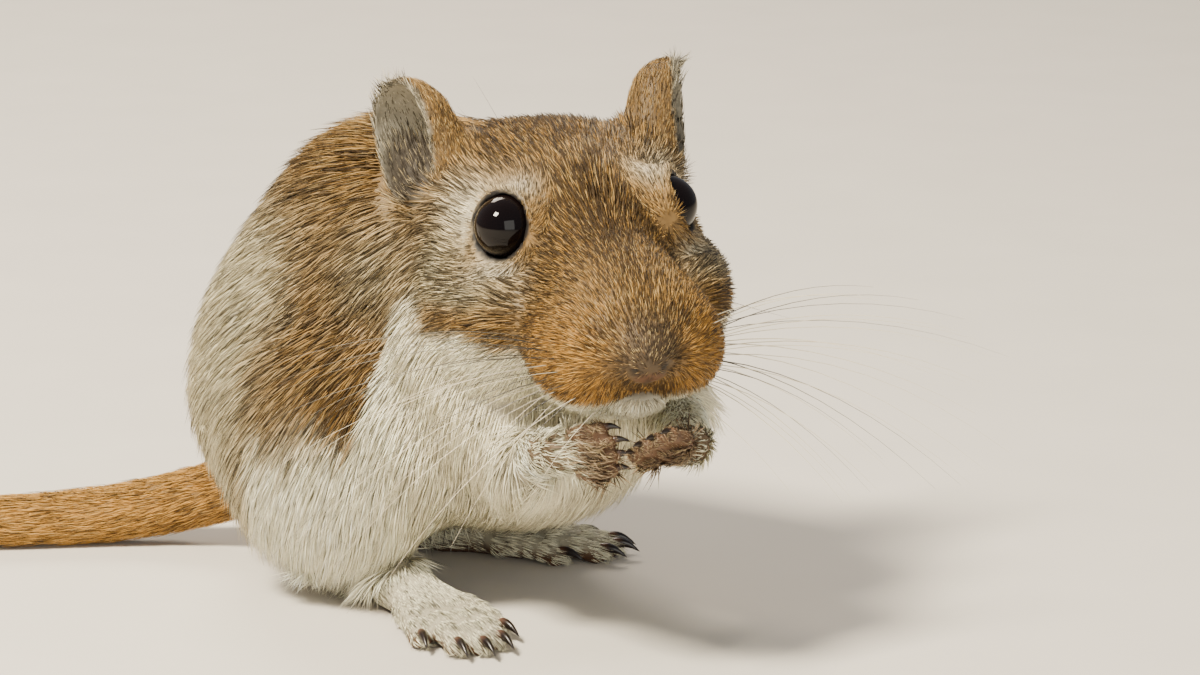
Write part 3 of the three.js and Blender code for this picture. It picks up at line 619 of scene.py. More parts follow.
def part_weights(p):
    """How far each point belongs to the head, feet, hands, arms, tail and ears, from 0 to 1."""
    h = to_head(p)
    limbs = limb_forms(p, 1.0)
    skull, trunk = skull_form(h), trunk_form(p)
    head = smooth(trunk - skull, -2.5, 2.5)
    out = {"head": head}
    core = np.minimum(skull, trunk)
    for group in ("foot", "hand", "arm"):
        d = np.minimum(limbs[group + "_right"], limbs[group + "_left"])
        out[group] = smooth(core + 0.6 - d, -0.4, 0.9)
    out["tail"] = smooth(core + 1.0 - limbs["tail"], -1.0, 1.6)
    ear, inner = np.full(len(p), 1e3), np.zeros(len(p))
    for side in (-1, 1):
        q = ear_axes(h, side)
        shell = ear_shell(q)
        ear = np.minimum(ear, shell)
        inner = np.maximum(inner, smooth(-ear_hollow(q), -0.5, -0.1) * (shell < 0.6))
        ear = np.minimum(ear, ear_stalk(h, side) + 0.2)
    risen = np.maximum(smooth(height_on_ear(h), 0.5, 3.5), inner)
    out["ear"] = smooth(skull + 0.9 - ear, -0.2, 1.2) * (ear < 1.0) * risen
    out["ear_inner"] = inner
    return out, h


def tuft_share(p, weights):
    """How far each point belongs to the dark tuft at the tail's end."""
    return smooth(p[:, 1], 80, 92) * weights["tail"]


BROWN_FROM = {"right": 2.4, "left": 0.4}  # mm past each wrist


def finger_share(p):
    """How far each point is out from a wrist towards its fingers."""
    share = np.zeros(len(p))
    for name in SIDES:
        wrist, end, along, *_ = palm_axes(name)
        beyond = (p - wrist) @ along
        on_hand = np.linalg.norm(p - end, axis=1) < 6
        share = np.maximum(share, smooth(beyond - BROWN_FROM[name], 0, 1.6) * on_hand)
    return share


def markings(p):
    """Middle colour, share of dark locks and root colour of the coat at each point.

    Also how far each point belongs to every part, and its place in the head's frame.
    """
    weights, h = part_weights(p)
    x, y, z = p[:, 0], p[:, 1], p[:, 2]
    ax, hy, hz = np.abs(h[:, 0]), h[:, 1], h[:, 2]
    ripple = 1.3 * np.sin(x * 0.55 + y * 0.31) + 0.9 * np.sin(y * 0.83 - z * 0.47)
    # the pale underside ends level along the haunch and rises at the shoulder up to the cheek
    border = 17.8 - 17 * smooth(y, 2.5, 10.5) + 12.5 * smooth(-y, 6.0, 9.0) + 0.7 * ripple
    soft = 1.6 + 2.2 * smooth(y, -7, -3)
    pale = smooth((border - z) / soft, -1, 1)
    colour = np.tile(TONE["golden"], (len(p), 1))
    # painted sheen on the rear of the body below the back, which also thins the dark guard hairs there
    side_sheen = smooth(y + 0.6 * ripple, -2, 9) * smooth(-z, -43, -31)
    colour = mix(colour, TONE["sheen"], 0.95 * side_sheen)
    colour = mix(colour, TONE["smoke"], 0.6 * near(p, 13, -6, 33, (6, 5, 5)))
    dusk = near(p, 15.5, -4.8, 23.5, (7, 3.4, 6.5))
    colour = mix(colour, TONE["golden"] * 0.9, 0.4 * dusk)
    colour = mix(colour, TONE["cream"], pale)
    # painted shade of the head on the chest and throat: their cream is dulled towards buff
    colour = mix(colour, TONE["buff"], 0.6 * pale * smooth(-y, 4, 13))
    ticked = (0.36 - 0.26 * side_sheen + 0.06 * dusk) * (1 - pale)
    # head
    face = np.tile(TONE["golden"], (len(p), 1))
    face = mix(face, TONE["smoke"], 0.95 * near(h, 13, 7, -3.6, (5, 6, 3.8)))
    face = mix(face, TONE["smoke"], 0.75 * near(h, 10.5, -1, -5.2, (4, 6, 1.3)))
    face = mix(face, TONE["orange"], 0.45 * near(h, 11.5, -1.5, -6.9, (4, 6.5, 0.9)))
    muzzle_side = 0.85 * smooth(-hy, 7, 11.5) * smooth(ax, 1.2, 4.2) * smooth(-hz, 3.5, 7.5)
    face = mix(face, TONE["orange"], muzzle_side)
    # the crown and the bridge of the nose are darker than the sides of the face: partly their darker hair,
    # partly painted shade
    crown = near(h, 0, 8, 9, (6.5, 9, 5), False) + near(h, 0, -10, -0.5, (3.2, 7, 5), False)
    face = mix(face, TONE["golden"] * DEEP, 0.85 * np.clip(crown, 0, 1))
    under_cheek = -7.9 - 0.068 * np.clip(-hy + 1, 0, 20) ** 1.6
    white = smooth(under_cheek + 0.25 * ripple - hz, -0.7, 0.7)
    face = mix(face, TONE["cream"] * 0.55 + TONE["buff"] * 0.45, white)
    face = mix(face, TONE["buff"], 0.95 * near(h, 9.0, 3.6, 1.4, (3.2, 3.6, 2.9)))
    face = mix(face, TONE["buff"], 0.85 * near(h, 8.7, -2.2, -3.3, (2.8, 3.6, 1.4)))
    face = mix(face, TONE["buff"], 0.6 * near(h, 6.2, -2.0, 4.2, (2.0, 3.2, 1.3)))
    face = mix(face, TONE["cream"], 0.8 * near(h, 13.0, 11.2, 0.6, (2.6, 2.6, 3.2)))
    lips = smooth(-13.3 - hz, -0.6, 0.6) * smooth(-hy, 7, 10)
    face = mix(face, TONE["cream"], 0.9 * lips)
    pad = near(h, 0, -18.0, -8.9, (3.3, 2.8, 3.5), False)
    pad = smooth(pad + 0.06 * ripple, 0.2, 0.9)
    face = mix(face, TONE["nose"], pad)
    # dark hair gathers along the bridge and in the whorl at the side of the nose
    stripe = near(h, 0, -9, 0, (2.6, 9, 9), False)
    whorl = near(h, 3.6, -16.6, -6.9, (1.1, 1.6, 1.1))
    face = mix(face, TONE["tip_dark"] * 1.6, 0.5 * whorl)
    face_ticked = 0.42 * (1 - white) * (1 - 0.5 * smooth(-hy, 9, 14) * smooth(ax, 1.5, 4)) * (1 - lips)
    face_ticked = face_ticked * (1 - 0.75 * near(h, 9, 2.5, 0.5, (3.5, 4, 3.5))) + 0.2 * stripe + 0.35 * whorl
    face_ticked = face_ticked + 0.2 * np.clip(crown, 0, 1) + 0.16 * pad
    head = weights["head"]
    colour = colour * (1 - head[:, None]) + face * head[:, None]
    ticked = ticked * (1 - head) + face_ticked * head
    for group, tone, tick in (
        ("arm", "cream", 0.05), ("foot", "foot", 0.22), ("hand", "foot", 0.15), ("tail", "tail", 0.16),
    ):
        w = weights[group]
        colour = mix(colour, TONE[tone], w)
        ticked = ticked * (1 - w) + tick * w
    colour = mix(colour, TONE["paw"], 0.85 * weights["hand"] * finger_share(p))
    w = weights["ear"]
    colour = mix(colour, TONE["golden"] * 0.7, w * 0.85)
    colour = mix(colour, TONE["ear"], weights["ear_inner"])
    ear_top = 0.7 * weights["ear_inner"] * smooth(height_on_ear(h), 6.0, 10.5)
    colour = mix(colour, TONE["buff"] * 0.72, ear_top)
    # painted shade deep in each ear's hollow
    for side in (-1, 1):
        q = ear_axes(h, side)
        hollow_shade = ellipsoid(q, (1.3, 4.6, 0.6), (2.4, 5.2, 3.2))
        hollow_shade = smooth(-hollow_shade, -0.3, 0.7) * (np.linalg.norm(q, axis=1) < 14)
        colour = mix(colour, TONE["tip_dark"] * 2.2, 0.8 * hollow_shade * weights["ear_inner"])
    ticked = ticked * (1 - w) + (0.28 + 0.3 * weights["ear_inner"]) * w
    root = colour * 0.55 + TONE["under"] * 0.25
    root = mix(root, TONE["cream_root"], np.clip(colour.mean(1) * 1.6 - 0.55, 0, 0.8))
    return colour, ticked, root, weights, h


def skin_colours(p):
    colour, _, root, weights, h = markings(p)
    by_eye = near(h, 8.4, -1.4, 0.7, (4.4, 4.4, 4.4))[:, None]
    out = root * 0.8 * (1 - by_eye) + colour * 0.85 * by_eye
    out = mix(out, TONE["skin"], 0.75 * weights["hand"])
    low = smooth(1.4 - p[:, 2], -0.6, 0.6) * weights["foot"]
    out = mix(out, TONE["skin"] * 0.8, low)
    for side in (-1, 1):
        _, away, far = eye_axes(h, side)
        rim = smooth(LID_REACH[side] + 0.45 - away, -0.12, 0.18) * (far < EYE_RADIUS + 1.2)
        out = mix(out, TONE["lid"], rim)
        # painted shade inside each nostril
        q = h - on_side(NOSTRIL, side)
        out = mix(out, TONE["lid"], smooth(0.62 - np.linalg.norm(q, axis=1), -0.15, 0.2))
        # painted shade deep in the ear's hollow
        q = ear_axes(h, side)
        deep = smooth(-ellipsoid(q, (0.9, 4.4, 0.8), (2.6, 5.2, 3.4)), -0.3, 0.8) * (far < 20)
        out = mix(out, TONE["under"] * 0.6, 0.8 * deep * weights["ear_inner"])
    out = mix(out, TONE["skin"] * 0.9, smooth(nose_tip(h), 0.45, 0.8))
    # painted shade in the groove under the nose
    out = mix(out, TONE["lid"] * 2.2, 0.6 * nose_groove(h, 0.35, -16))
    # painted shade in the line of the mouth
    mouth_shade = smooth(0.5 - np.abs(h[:, 2] + 12.9), -0.3, 0.2) * (h[:, 1] < -8) * (np.abs(h[:, 0]) < 5)
    out = mix(out, TONE["lid"] * 2.2, 0.6 * mouth_shade)
    return out


# Lie of the coat: guides give a place and the way the hair runs there

HEAD_LIE = (
    ((0, -19, -8), (0, 0.1, 1)), ((0, -19, -10), (0, 0, 1)), ((1.6, -18.5, -9.5), (0.6, 0.2, 0.7)),
    ((0, -17, -6), (0, 0.7, 0.8)), ((0, -11, -0.5), (0, 1, 0.12)), ((0, -3, 5), (0, 1, 0.2)),
    ((0, 8, 9), (0, 1, -0.1)), ((0, 18, 6), (0, 1, -0.6)), ((4, -15, -9), (0.8, 0.7, 0.1)),
    ((3, -16, -13), (0.35, 0.5, -0.8)), ((8, -10, -9), (0.4, 1, -0.25)), ((7, -6, -1), (0.3, 1, 0.25)),
    ((9, -6, -6), (0.25, 1, -0.15)), ((9, 1, 5), (0.25, 1, 0.35)), ((12, 6, -1), (0.1, 1, 0.1)),
    ((13, 2, -7), (0.1, 1, -0.4)), ((11, 10, -10), (0, 1, -0.7)), ((8, -2, -13), (0.2, 1, -0.55)),
    ((0, -16.2, -13.4), (0, 0.3, -1)), ((1.6, -15.6, -13.6), (0.15, 0.35, -1)),
    ((0, -14, -15), (0, 0.6, -0.9)), ((0, -15, -16), (0, 0.8, -0.6)), ((4, -2, -16), (0.1, 1, -0.5)),
)
BODY_LIE = (
    ((0, -2, 45), (0, 1, -0.1)), ((0, 10, 40), (0, 1, -0.6)), ((0, 19, 28), (0, 0.5, -1)),
    ((0, 22, 16), (0, 0.45, -1)), ((15, 2, 33), (0.1, 0.9, -0.7)), ((16, 12, 24), (0, 0.75, -0.9)),
    ((17, -8, 27), (0.1, 0.55, -0.95)), ((20, 0, 18), (0, 0.45, -1)), ((19, 6, 10), (0, 0.4, -1)),
    ((17, -8, 9), (0, 0.1, -1)), ((13, 2, 3), (0.1, 0.1, -1)), ((15, -16, 24), (0.1, 0.25, -1)),
    ((12, -22, 16), (0.1, 0.1, -1)), ((0, -29, 22), (0, 0.15, -1)), ((0, -26, 12), (0, 0.5, -0.9)),
    ((0, -10, 5), (0, 1, -0.2)), ((11, -12, 36), (0.2, 0.8, -0.7)), ((0, 14, 4), (0, 1, -0.3)),
)


def lie_of_coat(p, weights, h, normal):
    """Unit direction of the hair at each point, along the surface."""
    head_way, body_way = np.zeros_like(p), np.zeros_like(p)
    for place, way in HEAD_LIE:
        for side in (-1, 1) if place[0] else (1,):
            w = np.exp(-((h - on_side(place, side)) ** 2).sum(1) / (2 * 4.0**2)) + 1e-9
            head_way += w[:, None] * unit(on_side(way, side))
    for place, way in BODY_LIE:
        for side in (-1, 1) if place[0] else (1,):
            w = np.exp(-((p - on_side(place, side)) ** 2).sum(1) / (2 * 7.0**2)) + 1e-9
            body_way += w[:, None] * unit(on_side(way, side))
    head_way = unit(head_way) @ HEAD_TURN.T
    for side in (-1, 1):
        # hair round an eye turns away from it
        centre = from_head(on_side(EYE_PLACE, side))
        away = p - centre
        far = np.linalg.norm(away, axis=1, keepdims=True)
        head_way = head_way + 1.1 * np.exp(-(((far - 3.2) / 2.2) ** 2)) * away / np.maximum(far, 1e-6)
    w = weights["head"][:, None]
    way = unit(body_way) * (1 - w) + unit(head_way) * w
    ear_way = np.zeros_like(p)
    for side in (-1, 1):
        up = on_side(unit(EARS[side][1]), side) @ HEAD_TURN.T
        mine = ((h[:, 0] * side) > 0)[:, None]
        ear_way += mine * up
    w = weights["ear"][:, None] * 0.9
    way = way * (1 - w) + ear_way * w
    for name in SIDES:
        side_mask = (np.linalg.norm(p - on_foot(name, 0, 12, 2), axis=1) < 17)[:, None]
        toes = on_foot(name, 0, 1, 0) - on_foot(name, 0, 0, 0)
        w = weights["foot"][:, None] * side_mask
        way = way * (1 - w) + (toes + np.array([0, 0, -0.25])) * w
        arm_axis = unit(np.array(WRIST[name], float) - np.array(ELBOW[name], float))
        near_arm = (bar(p, ELBOW[name], WRIST[name], 3.6, 2.2) < 1.2)[:, None]
        w = np.maximum(weights["arm"], 0)[:, None] * near_arm
        way = way * (1 - w) + (arm_axis + np.array([0, 0, -0.5])) * w
        _, end, along, _, grip = palm_axes(name)
        w = weights["hand"][:, None] * (np.linalg.norm(p - end, axis=1) < 7)[:, None]
        way = way * (1 - w) + (along + 0.4 * unit(grip)) * w
    index = np.argmin(((p[:, None, :2] - TAIL_PATH[None, :, :2]) ** 2).sum(-1), axis=1)
    tangent = unit(np.gradient(TAIL_PATH, axis=0))[index]
    w = weights["tail"][:, None]
    way = way * (1 - w) + tangent * w
    way = way - (way * normal).sum(1, keepdims=True) * normal
    return unit(way)


class SkinSampler:
    """Random points on the skin, with normals, from its quads."""

    def __init__(self, verts, quads):
        tris = np.vstack([quads[:, [0, 1, 2]], quads[:, [0, 2, 3]]])
        a, b, c = (verts[tris[:, i]] for i in range(3))
        self.a, self.b, self.c = a, b, c
        self.area = np.linalg.norm(np.cross(b - a, c - a), axis=1) / 2
        self.middle = (a + b + c) / 3

    def draw(self, density, random):
        """Points at a density per square mm that each triangle's middle gives."""
        expected = self.area * density
        count = np.floor(expected + random.random(len(expected))).astype(int)
        index = np.repeat(np.arange(len(count)), count)
        r1, r2 = np.sqrt(random.random(len(index))), random.random(len(index))
        w = np.stack([1 - r1, r1 * (1 - r2), r1 * r2], 1)
        return w[:, :1] * self.a[index] + w[:, 1:2] * self.b[index] + w[:, 2:] * self.c[index]


BEND = 0.45  # share of its length at which a lock bends
LEVELS = np.array([0, 0, 0, BEND, BEND, BEND, 1.0])


def tufts(roots, normal, way, length, width, rise, sway):
    """Closed three-sided locks, each bending from its root down along the coat."""
    side = np.cross(normal, way)
    verts = np.empty((len(roots), len(LEVELS), 3))
    for corner, t in enumerate(LEVELS):
        height = rise * (1 - (1 - t) ** 2) - 0.2 * (t == 0)
        middle = roots + way * (length * t)[:, None] + side * (sway * length * t * t)[:, None]
        w = width * (1 - 0.2 * t / BEND) * (t < 1)
        out, up = ((1, 0), (-1, 0), (0, 0.9))[corner % 3]
        verts[:, corner] = middle + side * (out * w)[:, None] + normal * (height + up * w)[:, None]
    faces = [(0, 1, 2)]
    for a, b in ((0, 1), (1, 2), (2, 0)):
        faces += [(a, 3 + b, b), (a, 3 + a, 3 + b), (3 + b, 3 + a, 6)]
    return verts, np.array(faces)


# Materials


HAIR_SPECK = {"Scale": 900.0, "Detail": 2.0}
SKIN_GRAIN = {"Scale": 1400.0, "Detail": 4.0}


def speckled(tree, noise, levels):
    """Object coordinates, and the piece's own colour shaded by noise between two levels."""
    colour = add_node(tree, "ShaderNodeAttribute", attribute_name="coat")
    place = add_node(tree, "ShaderNodeTexCoord").outputs["Object"]
    speck = add_node(tree, "ShaderNodeTexNoise", noise, {"Vector": place})
    span = dict(zip(("From Min", "From Max", "To Min", "To Max"), levels))
    shade = add_node(tree, "ShaderNodeMapRange", span, {"Value": speck.outputs["Fac"]})
    tinted = add_node(tree, "ShaderNodeVectorMath", None, {0: colour.outputs["Color"]}, operation="SCALE")
    tree.links.new(shade.outputs["Result"], tinted.inputs["Scale"])
    return place, tinted.outputs["Vector"]


def close_material(tree, values, links):
    """Joins a principled shader with these values and links to the material's output."""
    shader = add_node(tree, "ShaderNodeBsdfPrincipled", values, links)
    add_node(tree, "ShaderNodeOutputMaterial", None, {"Surface": shader.outputs["BSDF"]})


def coat_material(name, roughness):
    """Dry keratin hair: banded along each lock, matt with a faint gloss along its side."""
    material, tree = new_material(name)
    _, tint = speckled(tree, HAIR_SPECK, (0.25, 0.75, 0.86, 1.12))
    close_material(tree, {"Roughness": roughness, "Specular IOR Level": 0.3}, {"Base Color": tint})
    return material


def skin_material():
    """Bare skin under the coat: matt, with fine creases and the stubble of the shortest hair."""
    material, tree = new_material("skin_under_fur")
    place, tint = speckled(tree, SKIN_GRAIN, (0.2, 0.8, 0.78, 1.15))
    cells = add_node(tree, "ShaderNodeTexVoronoi", {"Scale": 1100.0}, {"Vector": place})
    bump = add_node(
        tree, "ShaderNodeBump", {"Strength": 0.5, "Distance": 0.0002}, {"Height": cells.outputs["Distance"]}
    )
    values = {"Roughness": 0.62, "Specular IOR Level": 0.4}
    close_material(tree, values, {"Base Color": tint, "Normal": bump.outputs["Normal"]})
    return material


def eye_material():
    """Wet cornea over a dark iris: near black with a hard highlight."""
    material, tree = new_material("wet_dark_eye")
    facing = add_node(tree, "ShaderNodeLayerWeight", {"Blend": 0.35})
    tone = add_node(tree, "ShaderNodeMix", None, {"Factor": facing.outputs["Facing"]}, data_type="RGBA")
    tone.inputs[6].default_value = (*linear("#070405"), 1)
    tone.inputs[7].default_value = (*linear("#150c0a"), 1)
    values = {"Roughness": 0.05, "IOR": 1.38, "Specular IOR Level": 0.32}
    close_material(tree, values, {"Base Color": tone.outputs[2]})
    return material


def claw_material():
    """Polished horn: dark brown, paler towards the root."""
    material, tree = new_material("claw_horn")
    place = add_node(tree, "ShaderNodeAttribute", attribute_name="along")
    ramp = add_node(tree, "ShaderNodeValToRGB", None, {"Fac": place.outputs["Fac"]})
    ramp.color_ramp.elements[0].color = (*linear("#6b4a3c"), 1)
    ramp.color_ramp.elements[1].color = (*linear("#1a1210"), 1)
    ramp.color_ramp.elements[1].position = 0.45
    values = {"Roughness": 0.28, "Specular IOR Level": 0.5}
    close_material(tree, values, {"Base Color": ramp.outputs["Color"]})
    return material


def whisker_material():
    """Stiff whisker hair: dark at the root and paler to the tip, smooth and slightly glossy."""
    material, tree = new_material("whisker_hair")
    colour = add_node(tree, "ShaderNodeAttribute", attribute_name="coat")
    values = {"Roughness": 0.35, "Specular IOR Level": 0.5}
    close_material(tree, values, {"Base Color": colour.outputs["Color"]})
    return material


# Sizes and colours that a user may change


class GerbilSettings(bpy.types.PropertyGroup):
    skin_cell: FloatProperty(
        name="Skin cell", description="Cell size of the skin's net", default=0.4, min=0.2
    )
    body_hair: FloatProperty(name="Body hair", description="Length of the hair on the body, mm", default=4.2)
    body_rise: FloatProperty(
        name="Body lift", description="Height of a body lock's tip over the skin, mm", default=0.85
    )
    face_hair: FloatProperty(name="Face hair", description="Length of the hair on the face, mm", default=1.5)
    hair_width: FloatProperty(
        name="Hair width", description="Half width of a body lock at its root, mm", default=0.085
    )
    body_density: FloatProperty(
        name="Body density", description="Locks to a square mm on the body", default=10.0
    )
    face_density: FloatProperty(
        name="Face density", description="Locks to a square mm on the face", default=30.0
    )
    seed: IntProperty(name="Seed", description="Start of every random draw", default=11)
    whiskers: IntProperty(name="Whiskers", description="Whiskers on each side", default=26, min=1)
    whisker_width: FloatProperty(
        name="Whisker width", description="Root radius of a whisker, mm", default=0.045
    )
    floor_tone: FloatVectorProperty(
        name="Floor",
        description="Colour of the floor",
        subtype="COLOR",
        size=3,
        default=tuple(linear("#d9d2c8")),
    )


_kept = {}  # arrays that one operator hands to the next


def settings():
    return bpy.context.scene.gerbil


def finish(obj, slot, *nodes):
    """Puts a piece on the part's body and hides the solids that it stands for. The slot is not used."""
    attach(obj, "root")
    present = [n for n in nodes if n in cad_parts]
    if present:
        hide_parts(*present)


FLESH = (
    "torso", "neck", "head", "nose", "jaw", "tail_base", "tail_middle", "tail_end", "tail_tuft",
    *(f"{part}_{name}" for name in SIDES for part in (
        "ear", "whisker_pad", "upper_arm", "forearm", "hand", "thigh", "shank", "hind_foot")),
)


SKIN_LOW, SKIN_HIGH = (-30, -42, -1.2), (26, 108, 56)  # box round the skin


class GERBIL_OT_skin(bpy.types.Operator):
    """Builds the one skin under the coat"""

    bl_idname = "gerbil.skin"
    bl_label = "Skin"

    def execute(self, context):
        cell = settings().skin_cell
        verts, quads = net(skin_form, SKIN_LOW, SKIN_HIGH, cell)
        obj = mesh_object("skin", metres(verts), quads, 4)
        colour_layer(obj, "coat", skin_colours(verts))
        obj.data.materials.append(skin_material())
        finish(obj, "agouti_fur", *FLESH)
        _kept["skin"] = (verts, quads)
        return {"FINISHED"}


class GERBIL_OT_eyes(bpy.types.Operator):
    """Builds both eyes"""

    bl_idname = "gerbil.eyes"
    bl_label = "Eyes"

    def execute(self, context):
        material = eye_material()
        rows, columns = 32, 48
        v, u = np.meshgrid(
            np.arange(1, rows) * math.pi / rows, np.arange(columns) * 2 * math.pi / columns, indexing="ij"
        )
        rings = np.stack([np.sin(v) * np.cos(u), np.sin(v) * np.sin(u), np.cos(v)], -1)
        ball, faces = capped(rings, (0, 0, 1), (0, 0, -1))
        for name, side in SIDES.items():
            centre = from_head(on_side(EYE_PLACE, side))
            # the cornea bulges a little along the eye's axis
            axis = on_side(unit(EYE_AXIS[int(side)]), side) @ HEAD_TURN.T
            bulge = np.maximum(ball @ axis, 0) ** 4
            points = centre + ball * (EYE_RADIUS + 0.12 * bulge)[:, None]
            obj = mesh_object(f"eyeball_{name}", metres(points), faces, 3)
            obj.data.materials.append(material)
            finish(obj, "eye", f"eye_{name}")
        return {"FINISHED"}


def claw_mesh(start, way, length, radius):
    """A claw that curves down and is deeper than it is wide: points, faces and share of its length."""
    way = unit(way)
    up = unit(np.array([0, 0, 1.0]) - way[2] * way)
    across = np.cross(way, up)
    t = np.linspace(0, 1, 9)
    turn = np.arange(10) * 2 * math.pi / 10
    lift = 0.12 * length * np.sin(math.pi * t) - 0.2 * length * t**2
    centre = start + way * (length * t)[:, None] + up * lift[:, None]
    size = radius * (1 - t**1.6) + 0.04
    ring = np.cos(turn)[None, :, None] * across + 1.25 * np.sin(turn)[None, :, None] * up
    verts, faces = capped((centre[:, None] + ring * size[:, None, None])[:-1], centre[0], centre[-1])
    along = np.concatenate([[0], np.repeat(t[:-1], len(turn)), [1]])
    return verts, faces, along


class GERBIL_OT_claws(bpy.types.Operator):
    """Builds the claws of all four feet"""

    bl_idname = "gerbil.claws"
    bl_label = "Claws"

    def execute(self, context):
        material = claw_material()
        sets = {"hind_claws": [], "fore_claws": []}
        for name in SIDES:
            for n in range(len(TOES)):
                line = toe_line(name, n)
                way = unit((line[-1] - line[-2]) * np.array([1, 1, 0]))
                sets["hind_claws"].append((line[-1] + way * 0.25 + np.array([0, 0, 0.25]), way, 2.9, 0.44))
            for offset in FINGERS:
                line = finger_line(name, offset)
                way = unit(line[-1] - line[-2])
                sets["fore_claws"].append((line[-1] + way * 0.2, way, 1.7, 0.28))
        for name, claws in sets.items():
            verts, faces, along = [], [], []
            for claw in claws:
                base = sum(len(v) for v in verts)
                points, sides, share = claw_mesh(*claw)
                verts.append(points)
                faces.append(sides + base)
                along.append(share)
            obj = mesh_object(name, metres(np.vstack(verts)), np.vstack(faces), 3)
            layer = obj.data.attributes.new("along", "FLOAT", "POINT")
            layer.data.foreach_set("value", np.concatenate(along).astype(np.float32))
            obj.data.materials.append(material)
            nodes = [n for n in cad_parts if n.startswith(name.replace("claws", "claw"))]
            finish(obj, "claw", *nodes)
        return {"FINISHED"}


PAD_FAN = (
    (0.93, 0.1, 0.36, 25), (0.95, 0, 0.2, 28), (0.95, 0.2, 0.08, 27), (0.94, 0, -0.06, 29),
    (0.92, 0.2, -0.2, 25), (0.88, 0.1, -0.36, 19), (0.8, 0.24, -0.5, 13),
)


HAIR_POINTS = 9  # points along each whisker
# place, way and length of the long hairs of brow and cheek
LONG_HAIRS = (
    ((5.4, -2.0, 5.6), (0.35, 0.1, 0.9), 9),
    ((6.2, -0.4, 5.6), (0.5, 0.4, 0.8), 7),
    ((11, -2, -8), (0.9, 0.1, -0.4), 9),
)


def whisker_tree(material):
    """Sweeps a round section along each path, thinner to its tip."""
    tree = bpy.data.node_groups.new("whiskers_along_paths", "GeometryNodeTree")
    face = tree.interface
    face.new_socket("Geometry", in_out="INPUT", socket_type="NodeSocketGeometry")
    width = face.new_socket("Root radius", in_out="INPUT", socket_type="NodeSocketFloat")
    face.new_socket("Geometry", in_out="OUTPUT", socket_type="NodeSocketGeometry")
    source = add_node(tree, "NodeGroupInput")
    curve = add_node(tree, "GeometryNodeMeshToCurve", None, {"Mesh": source.outputs["Geometry"]})
    taper = add_node(tree, "GeometryNodeInputNamedAttribute", {"Name": "taper"}, data_type="FLOAT")
    radius = add_node(
        tree,
        "ShaderNodeMath",
        None,
        {0: source.outputs["Root radius"], 1: taper.outputs["Attribute"]},
        operation="MULTIPLY",
    )
    section = add_node(tree, "GeometryNodeCurvePrimitiveCircle", {"Resolution": 6, "Radius": 1.0})
    sized = add_node(
        tree,
        "GeometryNodeSetCurveRadius",
        None,
        {"Curve": curve.outputs["Curve"], "Radius": radius.outputs["Value"]},
    )
    swept = add_node(
        tree,
        "GeometryNodeCurveToMesh",
        {"Fill Caps": True},
        {"Curve": sized.outputs["Curve"], "Profile Curve": section.outputs["Curve"]},
    )
    if "Scale" in swept.inputs:
        tree.links.new(radius.outputs["Value"], swept.inputs["Scale"])
    real = add_node(tree, "GeometryNodeRealizeInstances", None, {"Geometry": swept.outputs["Mesh"]})
    dressed = add_node(
        tree, "GeometryNodeSetMaterial", {"Material": material}, {"Geometry": real.outputs["Geometry"]}
    )
    add_node(tree, "NodeGroupOutput", None, {"Geometry": dressed.outputs["Geometry"]})
    return tree, width.identifier


